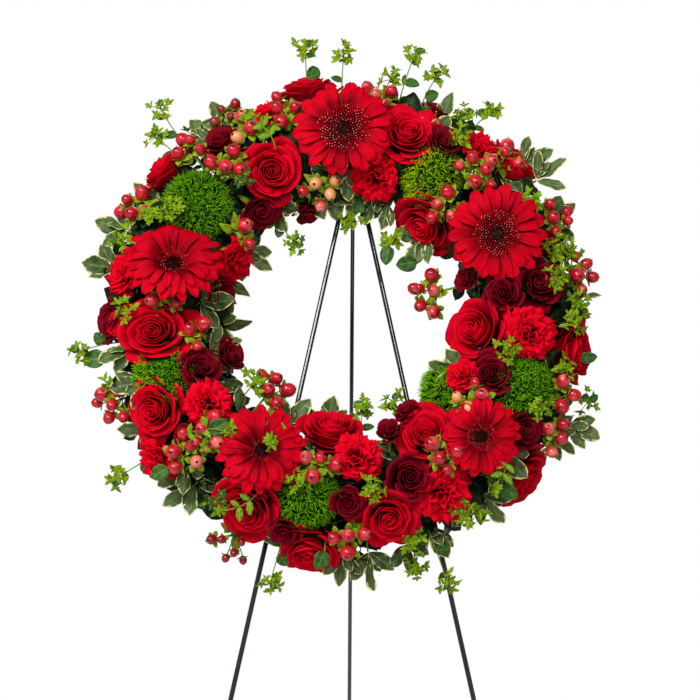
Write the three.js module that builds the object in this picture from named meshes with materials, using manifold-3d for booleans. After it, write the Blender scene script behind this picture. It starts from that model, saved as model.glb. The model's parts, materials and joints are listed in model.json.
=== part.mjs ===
// A standing funeral wreath: a ring of flower foam in a plastic tray, filled with red flowers, berries and
// greenery, hanging on a folding three-legged wire easel. Millimetres, +Z up, the flowers face -Y.

import * as THREE from "three";
import { mergeVertices } from "three/addons/utils/BufferGeometryUtils.js";
import Module from "manifold-3d";

const wasm = await Module();
wasm.setup();

// Driving dimensions.
const gap = 0.3; // between any two touching pieces
const sliver = 0.02; // cuts leave nothing finer than this
const easel = {
  lean: 10, // of the front legs, in degrees back from upright
  rearSweep: 17, // of the rear leg when open, in degrees back from upright
  apex: 1234, // where the front legs' centre lines would meet, measured along the front frame
  bare: 16, // from there down to the tops of the rods
  splay: 0.217, // sideways run of a front leg for each unit of its length along the frame
  frontRod: 5.6, // diameters
  rearRod: 4.8,
};
const tip = { radius: 6, flat: 1.5, sleeve: 22 }; // rounded end, worn flat by this much
const bracket = {
  bottom: 1178,
  top: 1219,
  bottomWidth: 38,
  topWidth: 22,
  plate: 2.4, // thicknesses of the plate and of the ears behind it
  ear: 2.4,
  earRadius: 8,
};
const pin = { radius: 2, height: 1190, behind: 16, head: 3.8, headThickness: 1.6, bevel: 0.7 };
const eye = { thickness: 4, radius: 7, tail: 8, lap: 5.6 }; // the rear leg's flattened top, and its tail
const hook = { rod: 5, run: 48, up: 11, bend: 9, clear: 1 };
const ring = {
  radius: 191, // of the circle at the middle of the foam
  width: 56,
  thickness: 38,
  middle: 25, // from the plane of the front legs forward to the foam's middle
  shift: -11, // of the ring's centre from the easel's middle
  height: 1038, // of the ring's centre along the front frame
};
const tray = { wall: 2, rim: 14, spare: 1.5 };
const stem = { flower: 2.2, fork: 1.8, sprig: 1.5, hoop: 1.8, branch: 2 }; // radii
const rootDepth = 13; // how near the foam's middle a stem comes
const cover = { mean: 86, fuller: 9, limit: 75 }; // flowers stand this far out, more at the bottom

const colours = {
  enamel: 0x10211b,
  vinyl: 0x0c0d0c,
  tray: 0x1d3a25,
  foam: 0x2f5a37,
  gerbera: 0xb00d12,
  rose: 0xa80a14,
  sprayRose: 0x4d0610,
  carnation: 0xc4121b,
  dianthus: 0x5d9a20,
  berry: 0xb3141c,
  bupleurum: 0x84a53a,
  pittosporum: 0x6f8b58,
  rivet: 0x9a9c9a,
};

// Where each flower stands: angle anticlockwise from the right as seen from the front, distance of the bloom
// from the ring's centre, diameter of the bloom, and for some a turn along the ring.
const gerberas = [
  { angle: 90, at: 201, size: 112 },
  { angle: 180, at: 183, size: 112, turn: -30, reach: 96 },
  { angle: 26.5, at: 185, size: 108 },
  { angle: 241, at: 179, size: 99 },
  { angle: 316, at: 203, size: 86 },
];
const roses = [
  { angle: 117, at: 171, size: 67 },
  { angle: 71, at: 216, size: 68 },
  { angle: 140, at: 274, size: 68 },
  { angle: 99, at: 278, size: 70 },
  { angle: 49, at: 124, size: 72 },
  { angle: 187, at: 209, size: 84 },
  { angle: 208.5, at: 237, size: 70 },
  { angle: 352, at: 136, size: 75 },
  { angle: 351, at: 271, size: 76 },
  { angle: 43, at: 274, size: 74 },
  { angle: 264, at: 118, size: 71 },
  { angle: 303, at: 158, size: 68 },
  { angle: 245, at: 247, size: 67 },
  { angle: 262, at: 273, size: 72 },
  { angle: 282, at: 236, size: 68 },
  { angle: 317.5, at: 277, size: 71 },
];
const dianthuses = [
  { angle: 143, at: 210, size: 82 },
  { angle: 58, at: 177, size: 75 },
  { angle: 200, at: 212, size: 70 },
  { angle: 259, at: 213, size: 75 },
  { angle: 325, at: 113, size: 67 },
  { angle: 337, at: 220, size: 72 },
];
const carnations = [
  { angle: 77, at: 148, size: 60 },
  { angle: 152, at: 124, size: 56 },
  { angle: 170, at: 250, size: 56 },
  { angle: 353, at: 204, size: 64 },
  { angle: 216, at: 177, size: 58 },
  { angle: 219, at: 267, size: 57 },
  { angle: 275, at: 158, size: 60 },
  { angle: 298, at: 234, size: 68 },
];
// Spray roses share a root, and fork from it.
const sprays = {
  top: { root: 60, blooms: [[67, 267, 34], [60, 223, 38], [51, 248, 50]] },
  upper_left: { root: 118, blooms: [[125, 242, 47], [129, 140, 44], [108, 117, 36], [110, 248, 44]] },
  left: { root: 175, blooms: [[182, 262, 48], [170.5, 129, 38]] },
  lower_left: { root: 206, blooms: [[203, 163, 48], [201.5, 125, 36], [220, 218, 30]] },
  bottom_left: { root: 263, blooms: [[271, 213, 34], [255.5, 254, 34]] },
  bottom: { root: 294, blooms: [[291, 198, 50], [302, 124, 30], [290, 136, 28]] },
  lower_right: { root: 331, blooms: [[336, 172, 47], [326, 238, 43], [331, 142, 44]] },
  right: { root: 10, blooms: [[8, 216, 54], [6, 171, 45], [19, 240, 28], [16, 134, 28]] },
};
// Berries: angle, distance from the ring's centre, and how many in the cluster.
const berryBranches = {
  left: [
    [107, 256, 3], [119, 262, 3], [128, 209, 3], [133, 250, 3], [152, 262, 4], [177, 194, 3], [192, 163, 2],
    [201, 272, 4], [225, 196, 3], [227, 228, 4], [228, 110, 3],
  ],
  right: [
    [245, 282, 4], [262, 176, 3], [272, 250, 3], [304, 191, 3], [322, 172, 4], [330, 262, 3], [371, 268, 3],
    [377, 104, 4], [385, 258, 3], [404, 160, 3], [406, 212, 4], [441, 252, 3],
  ],
};
// Sprigs of bupleurum and of pittosporum: angle and distance of the tip from the ring's centre.
const bupleurumTips = {
  outer: [
    [132, 304], [97, 297], [89, 290], [77, 290], [69, 282], [57, 282], [40, 281], [17, 262], [2, 268],
    [342, 286], [291, 303], [254, 298], [215, 297], [188, 292],
  ],
  inner: [[114, 112], [62, 97], [300, 104], [280, 98], [218, 118]],
};
const pittosporumTips = {
  outer: [
    [158, 287], [168, 283], [127, 279], [34, 292], [335, 293], [5, 279], [229, 277], [269, 290], [277, 284],
    [285, 286], [308, 276], [64, 272], [147, 270],
  ],
  inner: [
    [146, 100], [159, 118], [184, 108], [196, 116], [252, 100], [333, 114], [45, 100], [69, 106], [125, 118],
  ],
};

const radians = THREE.MathUtils.degToRad;

// Solids: a closed geometry becomes a manifold-3d solid, and a solid becomes a mesh again.
function solidOf(geometry) {
  const bare = new THREE.BufferGeometry();
  bare.setAttribute("position", geometry.getAttribute("position"));
  if (geometry.index) bare.setIndex(geometry.index);
  const merged = mergeVertices(bare, 1e-4);
  const triVerts = new Uint32Array(merged.index.array);
  const solid = new wasm.Manifold(
    new wasm.Mesh({ numProp: 3, vertProperties: merged.attributes.position.array, triVerts }),
  );
  if (solid.volume() > 0) return solid;
  for (let i = 0; i < triVerts.length; i += 3) {
    [triVerts[i + 1], triVerts[i + 2]] = [triVerts[i + 2], triVerts[i + 1]];
  }
  return new wasm.Manifold(
    new wasm.Mesh({ numProp: 3, vertProperties: merged.attributes.position.array, triVerts }),
  );
}

function meshOf(name, solid, colour, roughness, metalness = 0) {
  const { vertProperties, triVerts } = solid.simplify(sliver).getMesh();
  const geometry = new THREE.BufferGeometry();
  geometry.setAttribute("position", new THREE.BufferAttribute(new Float32Array(vertProperties), 3));
  geometry.setIndex(new THREE.BufferAttribute(new Uint32Array(triVerts), 1));
  geometry.computeVertexNormals();
  const material = new THREE.MeshStandardMaterial({ color: colour, roughness, metalness });
  const mesh = new THREE.Mesh(geometry, material);
  mesh.name = name;
  return mesh;
}

function largest(solid) {
  const bodies = solid.decompose();
  return bodies.reduce((best, body) => (body.volume() > best.volume() ? body : best));
}

// A solid turned from points of radius and height about +Z.
function turned(points, segments, shape) {
  const geometry = new THREE.LatheGeometry(points.map(([r, z]) => new THREE.Vector2(r, z)), segments);
  geometry.rotateX(Math.PI / 2);
  if (shape) {
    const position = geometry.getAttribute("position");
    for (let i = 0; i < position.count; i++) {
      const x = position.getX(i);
      const y = position.getY(i);
      const scale = shape(Math.atan2(y, x), Math.hypot(x, y), position.getZ(i));
      position.setXY(i, x * scale, y * scale);
    }
  }
  return geometry;
}

// A straight rod between two points.
function rod(from, to, radius, segments) {
  const along = new THREE.Vector3().subVectors(to, from);
  const geometry = new THREE.CylinderGeometry(radius, radius, along.length(), segments);
  const lengthwise = new THREE.Vector3(0, 1, 0);
  geometry.applyQuaternion(new THREE.Quaternion().setFromUnitVectors(lengthwise, along.normalize()));
  const middle = new THREE.Vector3().addVectors(from, to).multiplyScalar(0.5);
  geometry.translate(middle.x, middle.y, middle.z);
  return solidOf(geometry);
}

// The ring's own frame has its origin at the ring's centre in the plane of the front legs.
function onRing(angle, lean, reach, turn = 0) {
  const a = radians(angle);
  const outward = new THREE.Vector3(Math.cos(a), 0, Math.sin(a));
  const sideways = new THREE.Vector3(-Math.sin(a), 0, Math.cos(a));
  const axis = new THREE.Vector3(0, -Math.cos(radians(lean)), 0)
    .addScaledVector(outward, Math.sin(radians(lean)))
    .multiplyScalar(Math.cos(radians(turn)))
    .addScaledVector(sideways, Math.sin(radians(turn)));
  const core = outward.multiplyScalar(ring.radius);
  core.y = -ring.middle;
  return { core, axis, point: core.clone().addScaledVector(axis, reach) };
}

// How far out a plant stands at an angle, and the lean that puts it at its distance from the ring's centre.
function stance({ angle, at, turn = 0, reach }) {
  const usual = reach ?? cover.mean - cover.fuller * Math.sin(radians(angle));
  const offset = at - ring.radius;
  const steepest = Math.sin(radians(cover.limit));
  if (Math.abs(offset) <= usual * steepest) {
    return { angle, turn, lean: THREE.MathUtils.radToDeg(Math.asin(offset / usual)), reach: usual };
  }
  return { angle, turn, lean: cover.limit * Math.sign(offset), reach: Math.abs(offset) / steepest };
}

// Stands a geometry made along +Z from the foam's middle at a plant's place.
function planted(geometry, place) {
  const { core, axis } = onRing(place.angle, place.lean, 0, place.turn);
  const turn = new THREE.Quaternion().setFromUnitVectors(new THREE.Vector3(0, 0, 1), axis);
  geometry.applyQuaternion(turn);
  geometry.translate(core.x, core.y, core.z);
  return solidOf(geometry);
}

// Heads of the blooms, along +Z from the foam's middle: radius, and depth below the face, as shares of the
// size. Their sides, and the waves and the depth of the waves round the edge.
const outlines = {
  gerbera: [[0, 0.18], [0.14, 0.1], [0.5, 0.01], [0.48, -0.02], [0.2, 0.02], [0, 0]],
  rose: [[0, 0.66], [0.22, 0.6], [0.44, 0.38], [0.5, 0.18], [0.36, 0.02], [0, 0]],
  dianthus: [[0, 0.62], [0.3, 0.57], [0.5, 0.36], [0.46, 0.18], [0.26, 0.04], [0, 0]],
  carnation: [[0, 0.76], [0.14, 0.48], [0.5, 0.22], [0.4, 0.05], [0, 0]],
  sprayRose: [[0, 0.7], [0.5, 0.3], [0.38, 0.06], [0, 0]],
};
const sides = { gerbera: 18, rose: 11, dianthus: 10, carnation: 12, sprayRose: 9 };
const edges = {
  gerbera: [9, 0.03],
  rose: [3, 0.03],
  dianthus: [5, 0],
  carnation: [6, 0.04],
  sprayRose: [3, 0],
};
const sunk = 0.06; // a stem's top goes this share of the size into its head

function head(kind, place, size, more = 0) {
  const widest = outlines[kind].findIndex(([r]) => r === 0.5);
  const profile = outlines[kind].map(([r, below], i) => {
    const height = place.reach - below * size + (i <= widest ? -more : more);
    return [r ? r * size + more : 0, height];
  });
  const [waves, depth] = edges[kind];
  const edge = (a, r) => (r > 0.4 * size ? 1 + depth * Math.cos(waves * a) : 1);
  return planted(turned(profile, sides[kind], edge), place);
}

// A bloom's head is kept apart from its stem until the heads have been fitted to each other.
function bloom(kind, plant) {
  const place = stance(plant);
  const middle = onRing(place.angle, place.lean, place.reach - 0.4 * plant.size, place.turn).point;
  return {
    kind,
    place,
    size: plant.size,
    middle,
    radius: plant.size / 2,
    head: head(kind, place, plant.size),
    grown: head(kind, place, plant.size, gap),
  };
}

// Heads press against each other: each pair is parted by a plane, but a gerbera's petals lie over their
// neighbours.
function fitHeads(blooms) {
  blooms.forEach((a, i) => {
    blooms.slice(i + 1).forEach((b) => {
      if (a.kind === "gerbera") {
        b.head = largest(b.head.subtract(a.grown));
        return;
      }
      const apart = new THREE.Vector3().subVectors(a.middle, b.middle);
      const distance = apart.length();
      if (distance > a.radius + b.radius) return;
      apart.normalize();
      const meeting = (distance ** 2 + b.radius ** 2 - a.radius ** 2) / (2 * distance);
      const level = apart.dot(b.middle) + THREE.MathUtils.clamp(meeting, 0.2 * distance, 0.8 * distance);
      a.head = a.head.trimByPlane(apart.toArray(), level + gap / 2);
      b.head = b.head.trimByPlane(apart.clone().negate().toArray(), -level + gap / 2);
    });
  });
}

function stemRod({ kind, place, size }, more = 0) {
  const top = place.reach - (outlines[kind][0][1] - sunk) * size;
  const from = onRing(place.angle, place.lean, rootDepth - more, place.turn).point;
  const to = onRing(place.angle, place.lean, top, place.turn).point;
  return rod(from, to, stem.flower + (more ? more * Math.SQRT2 : 0), 4);
}

const front = new THREE.Vector3(0, -1, 0);
const golden = radians(137.5);

// A flat sprig from a hoop to its tip: a stem, blades to the left and right of it, and one at the end.
function sprig(from, to, { pairs, length, width, thickness, spread }, more) {
  const reach = from.distanceTo(to) + more;
  const half = stem.sprig + more;
  const right = [[-half, half]];
  for (let i = pairs; i >= 1; i--) {
    const foot = reach - length * (1.35 + 0.8 * (i - 1));
    const out = [foot + length * Math.cos(spread), half + (length + more) * Math.sin(spread)];
    const sag = 0.5 * width + more;
    right.push([foot - sag, half]);
    right.push([(foot + out[0]) / 2 - sag, (half + out[1]) / 2 + 0.6 * sag]);
    right.push(out);
    right.push([(foot + out[0]) / 2 + sag, (half + out[1]) / 2 - 0.6 * sag]);
  }
  right.push([reach - 0.6 * length, 0.45 * width + more]);
  right.push([reach, 0]);
  const left = right.slice(0, -1).reverse().map(([x, y]) => [x, -y]);
  const outline = new THREE.Shape([...right, ...left].map(([x, y]) => new THREE.Vector2(x, y)));
  const geometry = new THREE.ExtrudeGeometry(outline, { depth: thickness + 2 * more, bevelEnabled: false });
  geometry.translate(0, 0, -thickness / 2 - more);
  const along = new THREE.Vector3().subVectors(to, from).normalize();
  const across = new THREE.Vector3().crossVectors(front, along).normalize();
  const normal = new THREE.Vector3().crossVectors(along, across);
  geometry.applyMatrix4(new THREE.Matrix4().makeBasis(along, across, normal));
  geometry.translate(from.x, from.y, from.z);
  return solidOf(geometry);
}

// An arc of round wire about the ring's axis, from one angle to another.
class ArcPath extends THREE.Curve {
  constructor(radius, depth, start, end) {
    super();
    Object.assign(this, { radius, depth, start, end });
  }
  getPoint(t, target = new THREE.Vector3()) {
    const a = radians(this.start + (this.end - this.start) * t);
    return target.set(this.radius * Math.cos(a), -this.depth, this.radius * Math.sin(a));
  }
}

function wireArc(radius, depth, start, end, thickness) {
  const section = new THREE.Shape();
  for (let i = 0; i < 4; i++) {
    const a = (Math.PI * i) / 2;
    const x = thickness * Math.cos(a);
    const y = thickness * Math.sin(a);
    if (i === 0) section.moveTo(x, y);
    else section.lineTo(x, y);
  }
  const steps = Math.ceil((end - start) / 12);
  const extrudePath = new ArcPath(radius, depth, start, end);
  return solidOf(new THREE.ExtrudeGeometry(section, { steps, extrudePath, bevelEnabled: false }));
}

const hoops = {
  bupleurum: { outset: 36, depth: 11 },
  pittosporum: { outset: 31.6, depth: 21.5 },
  open: [93, 439], // the inner hoops leave room for the hook
};
const sprigShapes = {
  bupleurum: { pairs: 2, length: 20, width: 12, thickness: 1.6, spread: 1.0 },
  pittosporum: { pairs: 1, length: 34, width: 14, thickness: 1.6, spread: 0.8 },
};

function hoopOfSprigs(kind, where, tips, more = 0) {
  const { outset, depth } = hoops[kind];
  const radius = ring.radius + (where === "outer" ? outset : -outset);
  const [start, end] = where === "outer" ? [0, 354] : hoops.open;
  const solids = [wireArc(radius, depth, start, end, stem.hoop + 1.5 * more)];
  for (const [angle, at] of tips) {
    const place = stance({ angle, at });
    const to = onRing(place.angle, place.lean, place.reach).point;
    const a = radians(angle);
    const from = new THREE.Vector3(radius * Math.cos(a), -depth, radius * Math.sin(a));
    solids.push(sprig(from, to, sprigShapes[kind], more));
  }
  return wasm.Manifold.union(solids);
}

// A branch of berries: an arc along the foam's middle, and a forked stem out to each cluster.
const berry = { radius: 7.4, spread: 7.6, tier: 13, inTier: 3 };

function berryBranch(clusters, more = 0) {
  const angles = clusters.map(([angle]) => angle);
  const [first, last] = [Math.min(...angles) - 1, Math.max(...angles) + 1];
  const solids = [wireArc(ring.radius, ring.middle, first, last, stem.branch + more)];
  for (const [angle, at, count] of clusters) {
    const place = stance({ angle, at });
    const { core, axis } = onRing(place.angle, place.lean, 0);
    const top = core.clone().addScaledVector(axis, place.reach - berry.radius);
    const side = new THREE.Vector3().crossVectors(axis, new THREE.Vector3(0, 0, 1)).normalize();
    const up = new THREE.Vector3().crossVectors(side, axis);
    solids.push(rod(core, top, stem.sprig + more * Math.SQRT2, 4));
    for (let i = 0; i < count; i++) {
      const middle = top
        .clone()
        .addScaledVector(axis, -berry.tier * Math.floor(i / berry.inTier))
        .addScaledVector(side, berry.spread * Math.cos(golden * i))
        .addScaledVector(up, berry.spread * Math.sin(golden * i));
      const fruit = new THREE.IcosahedronGeometry(berry.radius + 1.3 * more, 0);
      fruit.translate(middle.x, middle.y, middle.z);
      solids.push(solidOf(fruit));
    }
  }
  return wasm.Manifold.union(solids);
}

// The foam and its tray, turned about the ring's axis from points of radius and depth.
function turnedRing(points) {
  const closed = [...points, points[0]];
  const profile = closed.map(([outset, depth]) => new THREE.Vector2(ring.radius + outset, -depth));
  return solidOf(new THREE.LatheGeometry(profile, 32));
}

const foamHalf = ring.width / 2;
const foamBack = ring.middle - ring.thickness / 2;
const foamFront = ring.middle + ring.thickness / 2;
const trayIn = foamHalf + tray.spare;
const trayOut = trayIn + tray.wall;
const trayFloor = foamBack - gap;
const trayBack = trayFloor - tray.wall;
const shoulder = 9;

function foamBody() {
  return turnedRing([
    [-foamHalf, foamBack],
    [-foamHalf, foamFront - shoulder],
    [shoulder - foamHalf, foamFront],
    [foamHalf - shoulder, foamFront],
    [foamHalf, foamFront - shoulder],
    [foamHalf, foamBack],
  ]);
}

function trayBody() {
  return turnedRing([
    [-trayOut, trayBack],
    [-trayOut, trayBack + tray.rim],
    [-trayIn, trayBack + tray.rim],
    [-trayIn, trayFloor],
    [trayIn, trayFloor],
    [trayIn, trayBack + tray.rim],
    [trayOut, trayBack + tray.rim],
    [trayOut, trayBack],
  ]);
}

// The easel's own frame stands on the floor between the front feet and leans back with the front legs: +Z
// runs up the frame and -Y out of its front.
const sideways = new THREE.Vector3(1, 0, 0);
const lean = radians(easel.lean);
const fold = radians(easel.lean + easel.rearSweep);
const tipCentre = tip.radius - tip.flat;
const plateFront = easel.frontRod / 2 + gap;
const plateBack = plateFront + bracket.plate;
const earGap = eye.thickness + 2 * gap;

function legEnds(side) {
  const at = (z) => new THREE.Vector3(side * easel.splay * (easel.apex - z), 0, z);
  return { top: at(easel.apex - easel.bare), foot: at(tipCentre / Math.cos(lean)) };
}

function frontLeg(side) {
  const { top, foot } = legEnds(side);
  const up = new THREE.Vector3().subVectors(top, foot).normalize();
  return rod(foot.clone().addScaledVector(up, 2 * gap), top, easel.frontRod / 2, 12);
}

// A vinyl tip on a rod that points along "down": a sleeve with a rounded end, flat where it stands.
function footTip(down, rodRadius) {
  const bore = rodRadius + gap;
  const rounded = [0, 30, 60, 90].map((a) => [
    tip.radius * Math.sin(radians(a)),
    tip.radius * Math.cos(radians(a)),
  ]);
  const points = [
    ...rounded,
    [tip.radius, 4 - tip.sleeve],
    [bore + 0.8, -tip.sleeve],
    [bore, -tip.sleeve],
    [bore, 0],
    [0, 0],
  ];
  const geometry = turned(points, 12);
  geometry.applyQuaternion(new THREE.Quaternion().setFromUnitVectors(new THREE.Vector3(0, 0, 1), down));
  return solidOf(geometry).trimByPlane([0, 0, 1], -tipCentre);
}

// A plate lying in the easel's upright middle plane, from an outline of distance behind and height.
function middlePlate(outline, thickness, x) {
  const options = { depth: thickness, bevelEnabled: false, curveSegments: 8 };
  const geometry = new THREE.ExtrudeGeometry(outline, options);
  const behind = new THREE.Vector3(0, 1, 0);
  geometry.applyMatrix4(new THREE.Matrix4().makeBasis(behind, new THREE.Vector3(0, 0, 1), sideways));
  geometry.translate(x, 0, 0);
  return solidOf(geometry);
}

function pinHole() {
  return new THREE.Path().absarc(0, 0, pin.radius + gap, 0, 2 * Math.PI);
}

function legBracket() {
  const face = new THREE.Shape();
  face.moveTo(-bracket.bottomWidth / 2, bracket.bottom);
  face.lineTo(bracket.bottomWidth / 2, bracket.bottom);
  face.lineTo(bracket.topWidth / 2, bracket.top);
  face.lineTo(-bracket.topWidth / 2, bracket.top);
  const plate = new THREE.ExtrudeGeometry(face, { depth: bracket.plate, bevelEnabled: false });
  plate.rotateX(Math.PI / 2);
  plate.translate(0, plateBack, 0);
  const root = plateFront + bracket.plate / 2 - pin.behind;
  const ear = new THREE.Shape();
  ear.moveTo(root, -bracket.earRadius);
  ear.absarc(0, 0, bracket.earRadius, -Math.PI / 2, Math.PI / 2);
  ear.lineTo(root, bracket.earRadius);
  ear.holes.push(pinHole());
  const ears = [earGap / 2, -earGap / 2 - bracket.ear].map((x) =>
    middlePlate(ear, bracket.ear, x).translate([0, pin.behind, pin.height]),
  );
  return wasm.Manifold.union([solidOf(plate), ...ears]);
}

function hingePin() {
  const inner = earGap / 2 + bracket.ear + gap;
  const outer = inner + pin.headThickness;
  const half = [
    [pin.radius, inner],
    [pin.head, inner],
    [pin.head, outer - pin.bevel],
    [pin.head - pin.bevel, outer],
    [0, outer],
  ];
  const mirrored = half.map(([r, z]) => [r, -z]).reverse();
  const geometry = turned([...mirrored, ...half], 12);
  geometry.rotateY(Math.PI / 2);
  return solidOf(geometry);
}

// The rear leg hangs from its eye along -Z in its own frame. When it is open its tail bears on the bracket.
const pinWorldHeight = pin.height * Math.cos(lean) - pin.behind * Math.sin(lean);
const rearLength = (pinWorldHeight - tipCentre) / Math.cos(radians(easel.rearSweep));

function rearLeg() {
  const half = eye.tail / 2;
  const room = pin.behind - half * Math.cos(fold) - (plateBack + gap);
  const tailTop = room / Math.sin(fold);
  const outline = new THREE.Shape();
  outline.absarc(0, 0, eye.radius, -0.9 * Math.PI, -0.1 * Math.PI);
  outline.lineTo(half, half);
  outline.lineTo(half, tailTop);
  outline.lineTo(-half, tailTop);
  outline.lineTo(-half, half);
  outline.holes.push(pinHole());
  const flat = middlePlate(outline, eye.thickness, -eye.thickness / 2);
  const top = new THREE.Vector3(0, 0, -eye.lap);
  const bottom = new THREE.Vector3(0, 0, 2 * gap - rearLength);
  return flat.add(rod(bottom, top, easel.rearRod / 2, 10));
}

// The hook runs forward between the legs under the ring's inner edge, and turns up in front of the foam.
function hookBody(more = 0) {
  const inner = ring.radius - trayOut;
  const height = ring.height + Math.sqrt(inner ** 2 - ring.shift ** 2) - hook.rod / 2 - hook.clear;
  const path = new THREE.CatmullRomCurve3([
    new THREE.Vector3(0, plateFront - gap + more, height),
    new THREE.Vector3(0, hook.bend - hook.run, height),
    new THREE.Vector3(0, 0.2 * hook.bend - hook.run, height + 0.25 * hook.bend),
    new THREE.Vector3(0, -hook.run, height + hook.up + more),
  ]);
  const section = new THREE.Shape().absarc(0, 0, hook.rod / 2 + 1.2 * more, 0, 2 * Math.PI);
  const options = { steps: 10, extrudePath: path, bevelEnabled: false, curveSegments: 5 };
  return solidOf(new THREE.ExtrudeGeometry(section, options));
}

// The wreath. Pieces are made in order, and each later one gives way to those already "taken".
const blooms = [
  ...gerberas.map((plant) => bloom("gerbera", plant)),
  ...roses.map((plant) => bloom("rose", plant)),
  ...dianthuses.map((plant) => bloom("dianthus", plant)),
  ...carnations.map((plant) => bloom("carnation", plant)),
];
const sprayBlooms = Object.fromEntries(
  Object.entries(sprays).map(([name, { blooms: heads }]) => [
    name,
    heads.map(([angle, at, size]) => bloom("sprayRose", { angle, at, size })),
  ]),
);
fitHeads([...blooms, ...Object.values(sprayBlooms).flat()]);

const wreath = new THREE.Group();
wreath.position.set(ring.shift, 0, ring.height);
const inFront = blooms.slice(0, gerberas.length).flatMap((flower) => [flower.grown, stemRod(flower, gap)]);
const obstacles = wasm.Manifold.union([...inFront, hookBody(gap).translate([-ring.shift, 0, -ring.height])]);
const counts = {};
const stems = [];
for (const flower of blooms) {
  const { kind } = flower;
  counts[kind] = (counts[kind] ?? 0) + 1;
  const whole = flower.head.add(stemRod(flower));
  const solid = kind === "gerbera" ? whole : largest(whole.subtract(obstacles));
  stems.push(stemRod(flower, gap));
  wreath.add(meshOf(`${kind}_${counts[kind]}`, solid, colours[kind], 0.6));
}

let taken = wasm.Manifold.union([obstacles, ...blooms.map((flower) => flower.grown), ...stems]);
for (const [name, heads] of Object.entries(sprayBlooms)) {
  const lean = heads.reduce((sum, flower) => sum + flower.place.lean, 0) / heads.length;
  const root = onRing(sprays[name].root, lean, rootDepth).point;
  const forks = heads.map((flower) => rod(root, flower.middle, stem.fork, 4));
  const whole = wasm.Manifold.union([...heads.map((flower) => flower.head), ...forks]);
  const solid = largest(whole.subtract(taken));
  stems.push(...heads.map((flower) => rod(root, flower.middle, stem.fork + gap * Math.SQRT2, 4)));
  wreath.add(meshOf(`spray_rose_${name}`, solid, colours.sprayRose, 0.6));
}

taken = wasm.Manifold.union([
  taken,
  ...stems,
  ...Object.values(sprayBlooms)
    .flat()
    .map((flower) => flower.grown),
]);
for (const [name, clusters] of Object.entries(berryBranches)) {
  const solid = largest(berryBranch(clusters).subtract(taken));
  const bare = clusters.map(([angle, at]) => [angle, at, 0]);
  stems.push(berryBranch(bare, gap));
  wreath.add(meshOf(`hypericum_${name}`, solid, colours.berry, 0.3));
}

const grownBranches = Object.values(berryBranches).map((clusters) => berryBranch(clusters, gap));
taken = wasm.Manifold.union([taken, ...grownBranches]);
for (const [kind, tips] of Object.entries({ pittosporum: pittosporumTips, bupleurum: bupleurumTips })) {
  for (const where of ["outer", "inner"]) {
    const solid = largest(hoopOfSprigs(kind, where, tips[where]).subtract(taken));
    wreath.add(meshOf(`${kind}_${where}`, solid, colours[kind], 0.6));
    taken = taken.add(hoopOfSprigs(kind, where, tips[where], gap));
  }
}
wreath.add(meshOf("foam_ring", foamBody().subtract(wasm.Manifold.union(stems)), colours.foam, 0.9));
wreath.add(meshOf("foam_tray", trayBody(), colours.tray, 0.5));

const leaning = new THREE.Group();
leaning.rotation.x = -lean;
leaning.add(wreath);
leaning.add(meshOf("left_leg", frontLeg(-1), colours.enamel, 0.25, 0.3));
leaning.add(meshOf("right_leg", frontLeg(1), colours.enamel, 0.25, 0.3));
leaning.add(meshOf("leg_bracket", legBracket(), colours.enamel, 0.3, 0.3));
leaning.add(meshOf("ring_hook", hookBody(), colours.enamel, 0.3, 0.3));

const rear = new THREE.Group();
rear.position.set(0, pin.behind, pin.height);
rear.rotation.x = fold;
rear.add(meshOf("rear_leg", rearLeg(), colours.enamel, 0.35, 0.3));
leaning.add(rear);
const rivet = meshOf("hinge_pin", hingePin(), colours.rivet, 0.4, 1);
rivet.position.copy(rear.position);
leaning.add(rivet);

const part = new THREE.Group();
part.add(leaning);
for (const [name, side] of [["left", -1], ["right", 1]]) {
  const { top, foot } = legEnds(side);
  const down = new THREE.Vector3().subVectors(foot, top).normalize().applyAxisAngle(sideways, -lean);
  const mesh = meshOf(`${name}_foot_tip`, footTip(down, easel.frontRod / 2), colours.vinyl, 0.6);
  mesh.position.copy(foot).applyAxisAngle(sideways, -lean);
  part.add(mesh);
}
const sweep = radians(easel.rearSweep);
const rearDown = new THREE.Vector3(0, Math.sin(sweep), -Math.cos(sweep));
const rearTip = meshOf("rear_foot_tip", footTip(rearDown, easel.rearRod / 2), colours.vinyl, 0.6);
rearTip.position.copy(rear.position).applyAxisAngle(sideways, -lean).addScaledVector(rearDown, rearLength);
part.add(rearTip);

// The origin is on the floor, under the middle of the whole object's box.
part.updateMatrixWorld(true);
const box = new THREE.Box3().setFromObject(part);
const middle = box.getCenter(new THREE.Vector3());
part.position.set(-middle.x, -middle.y, -box.min.z);

export default part;
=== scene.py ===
import bpy
import json
import math
import numpy as np
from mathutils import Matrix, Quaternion, Vector

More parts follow.
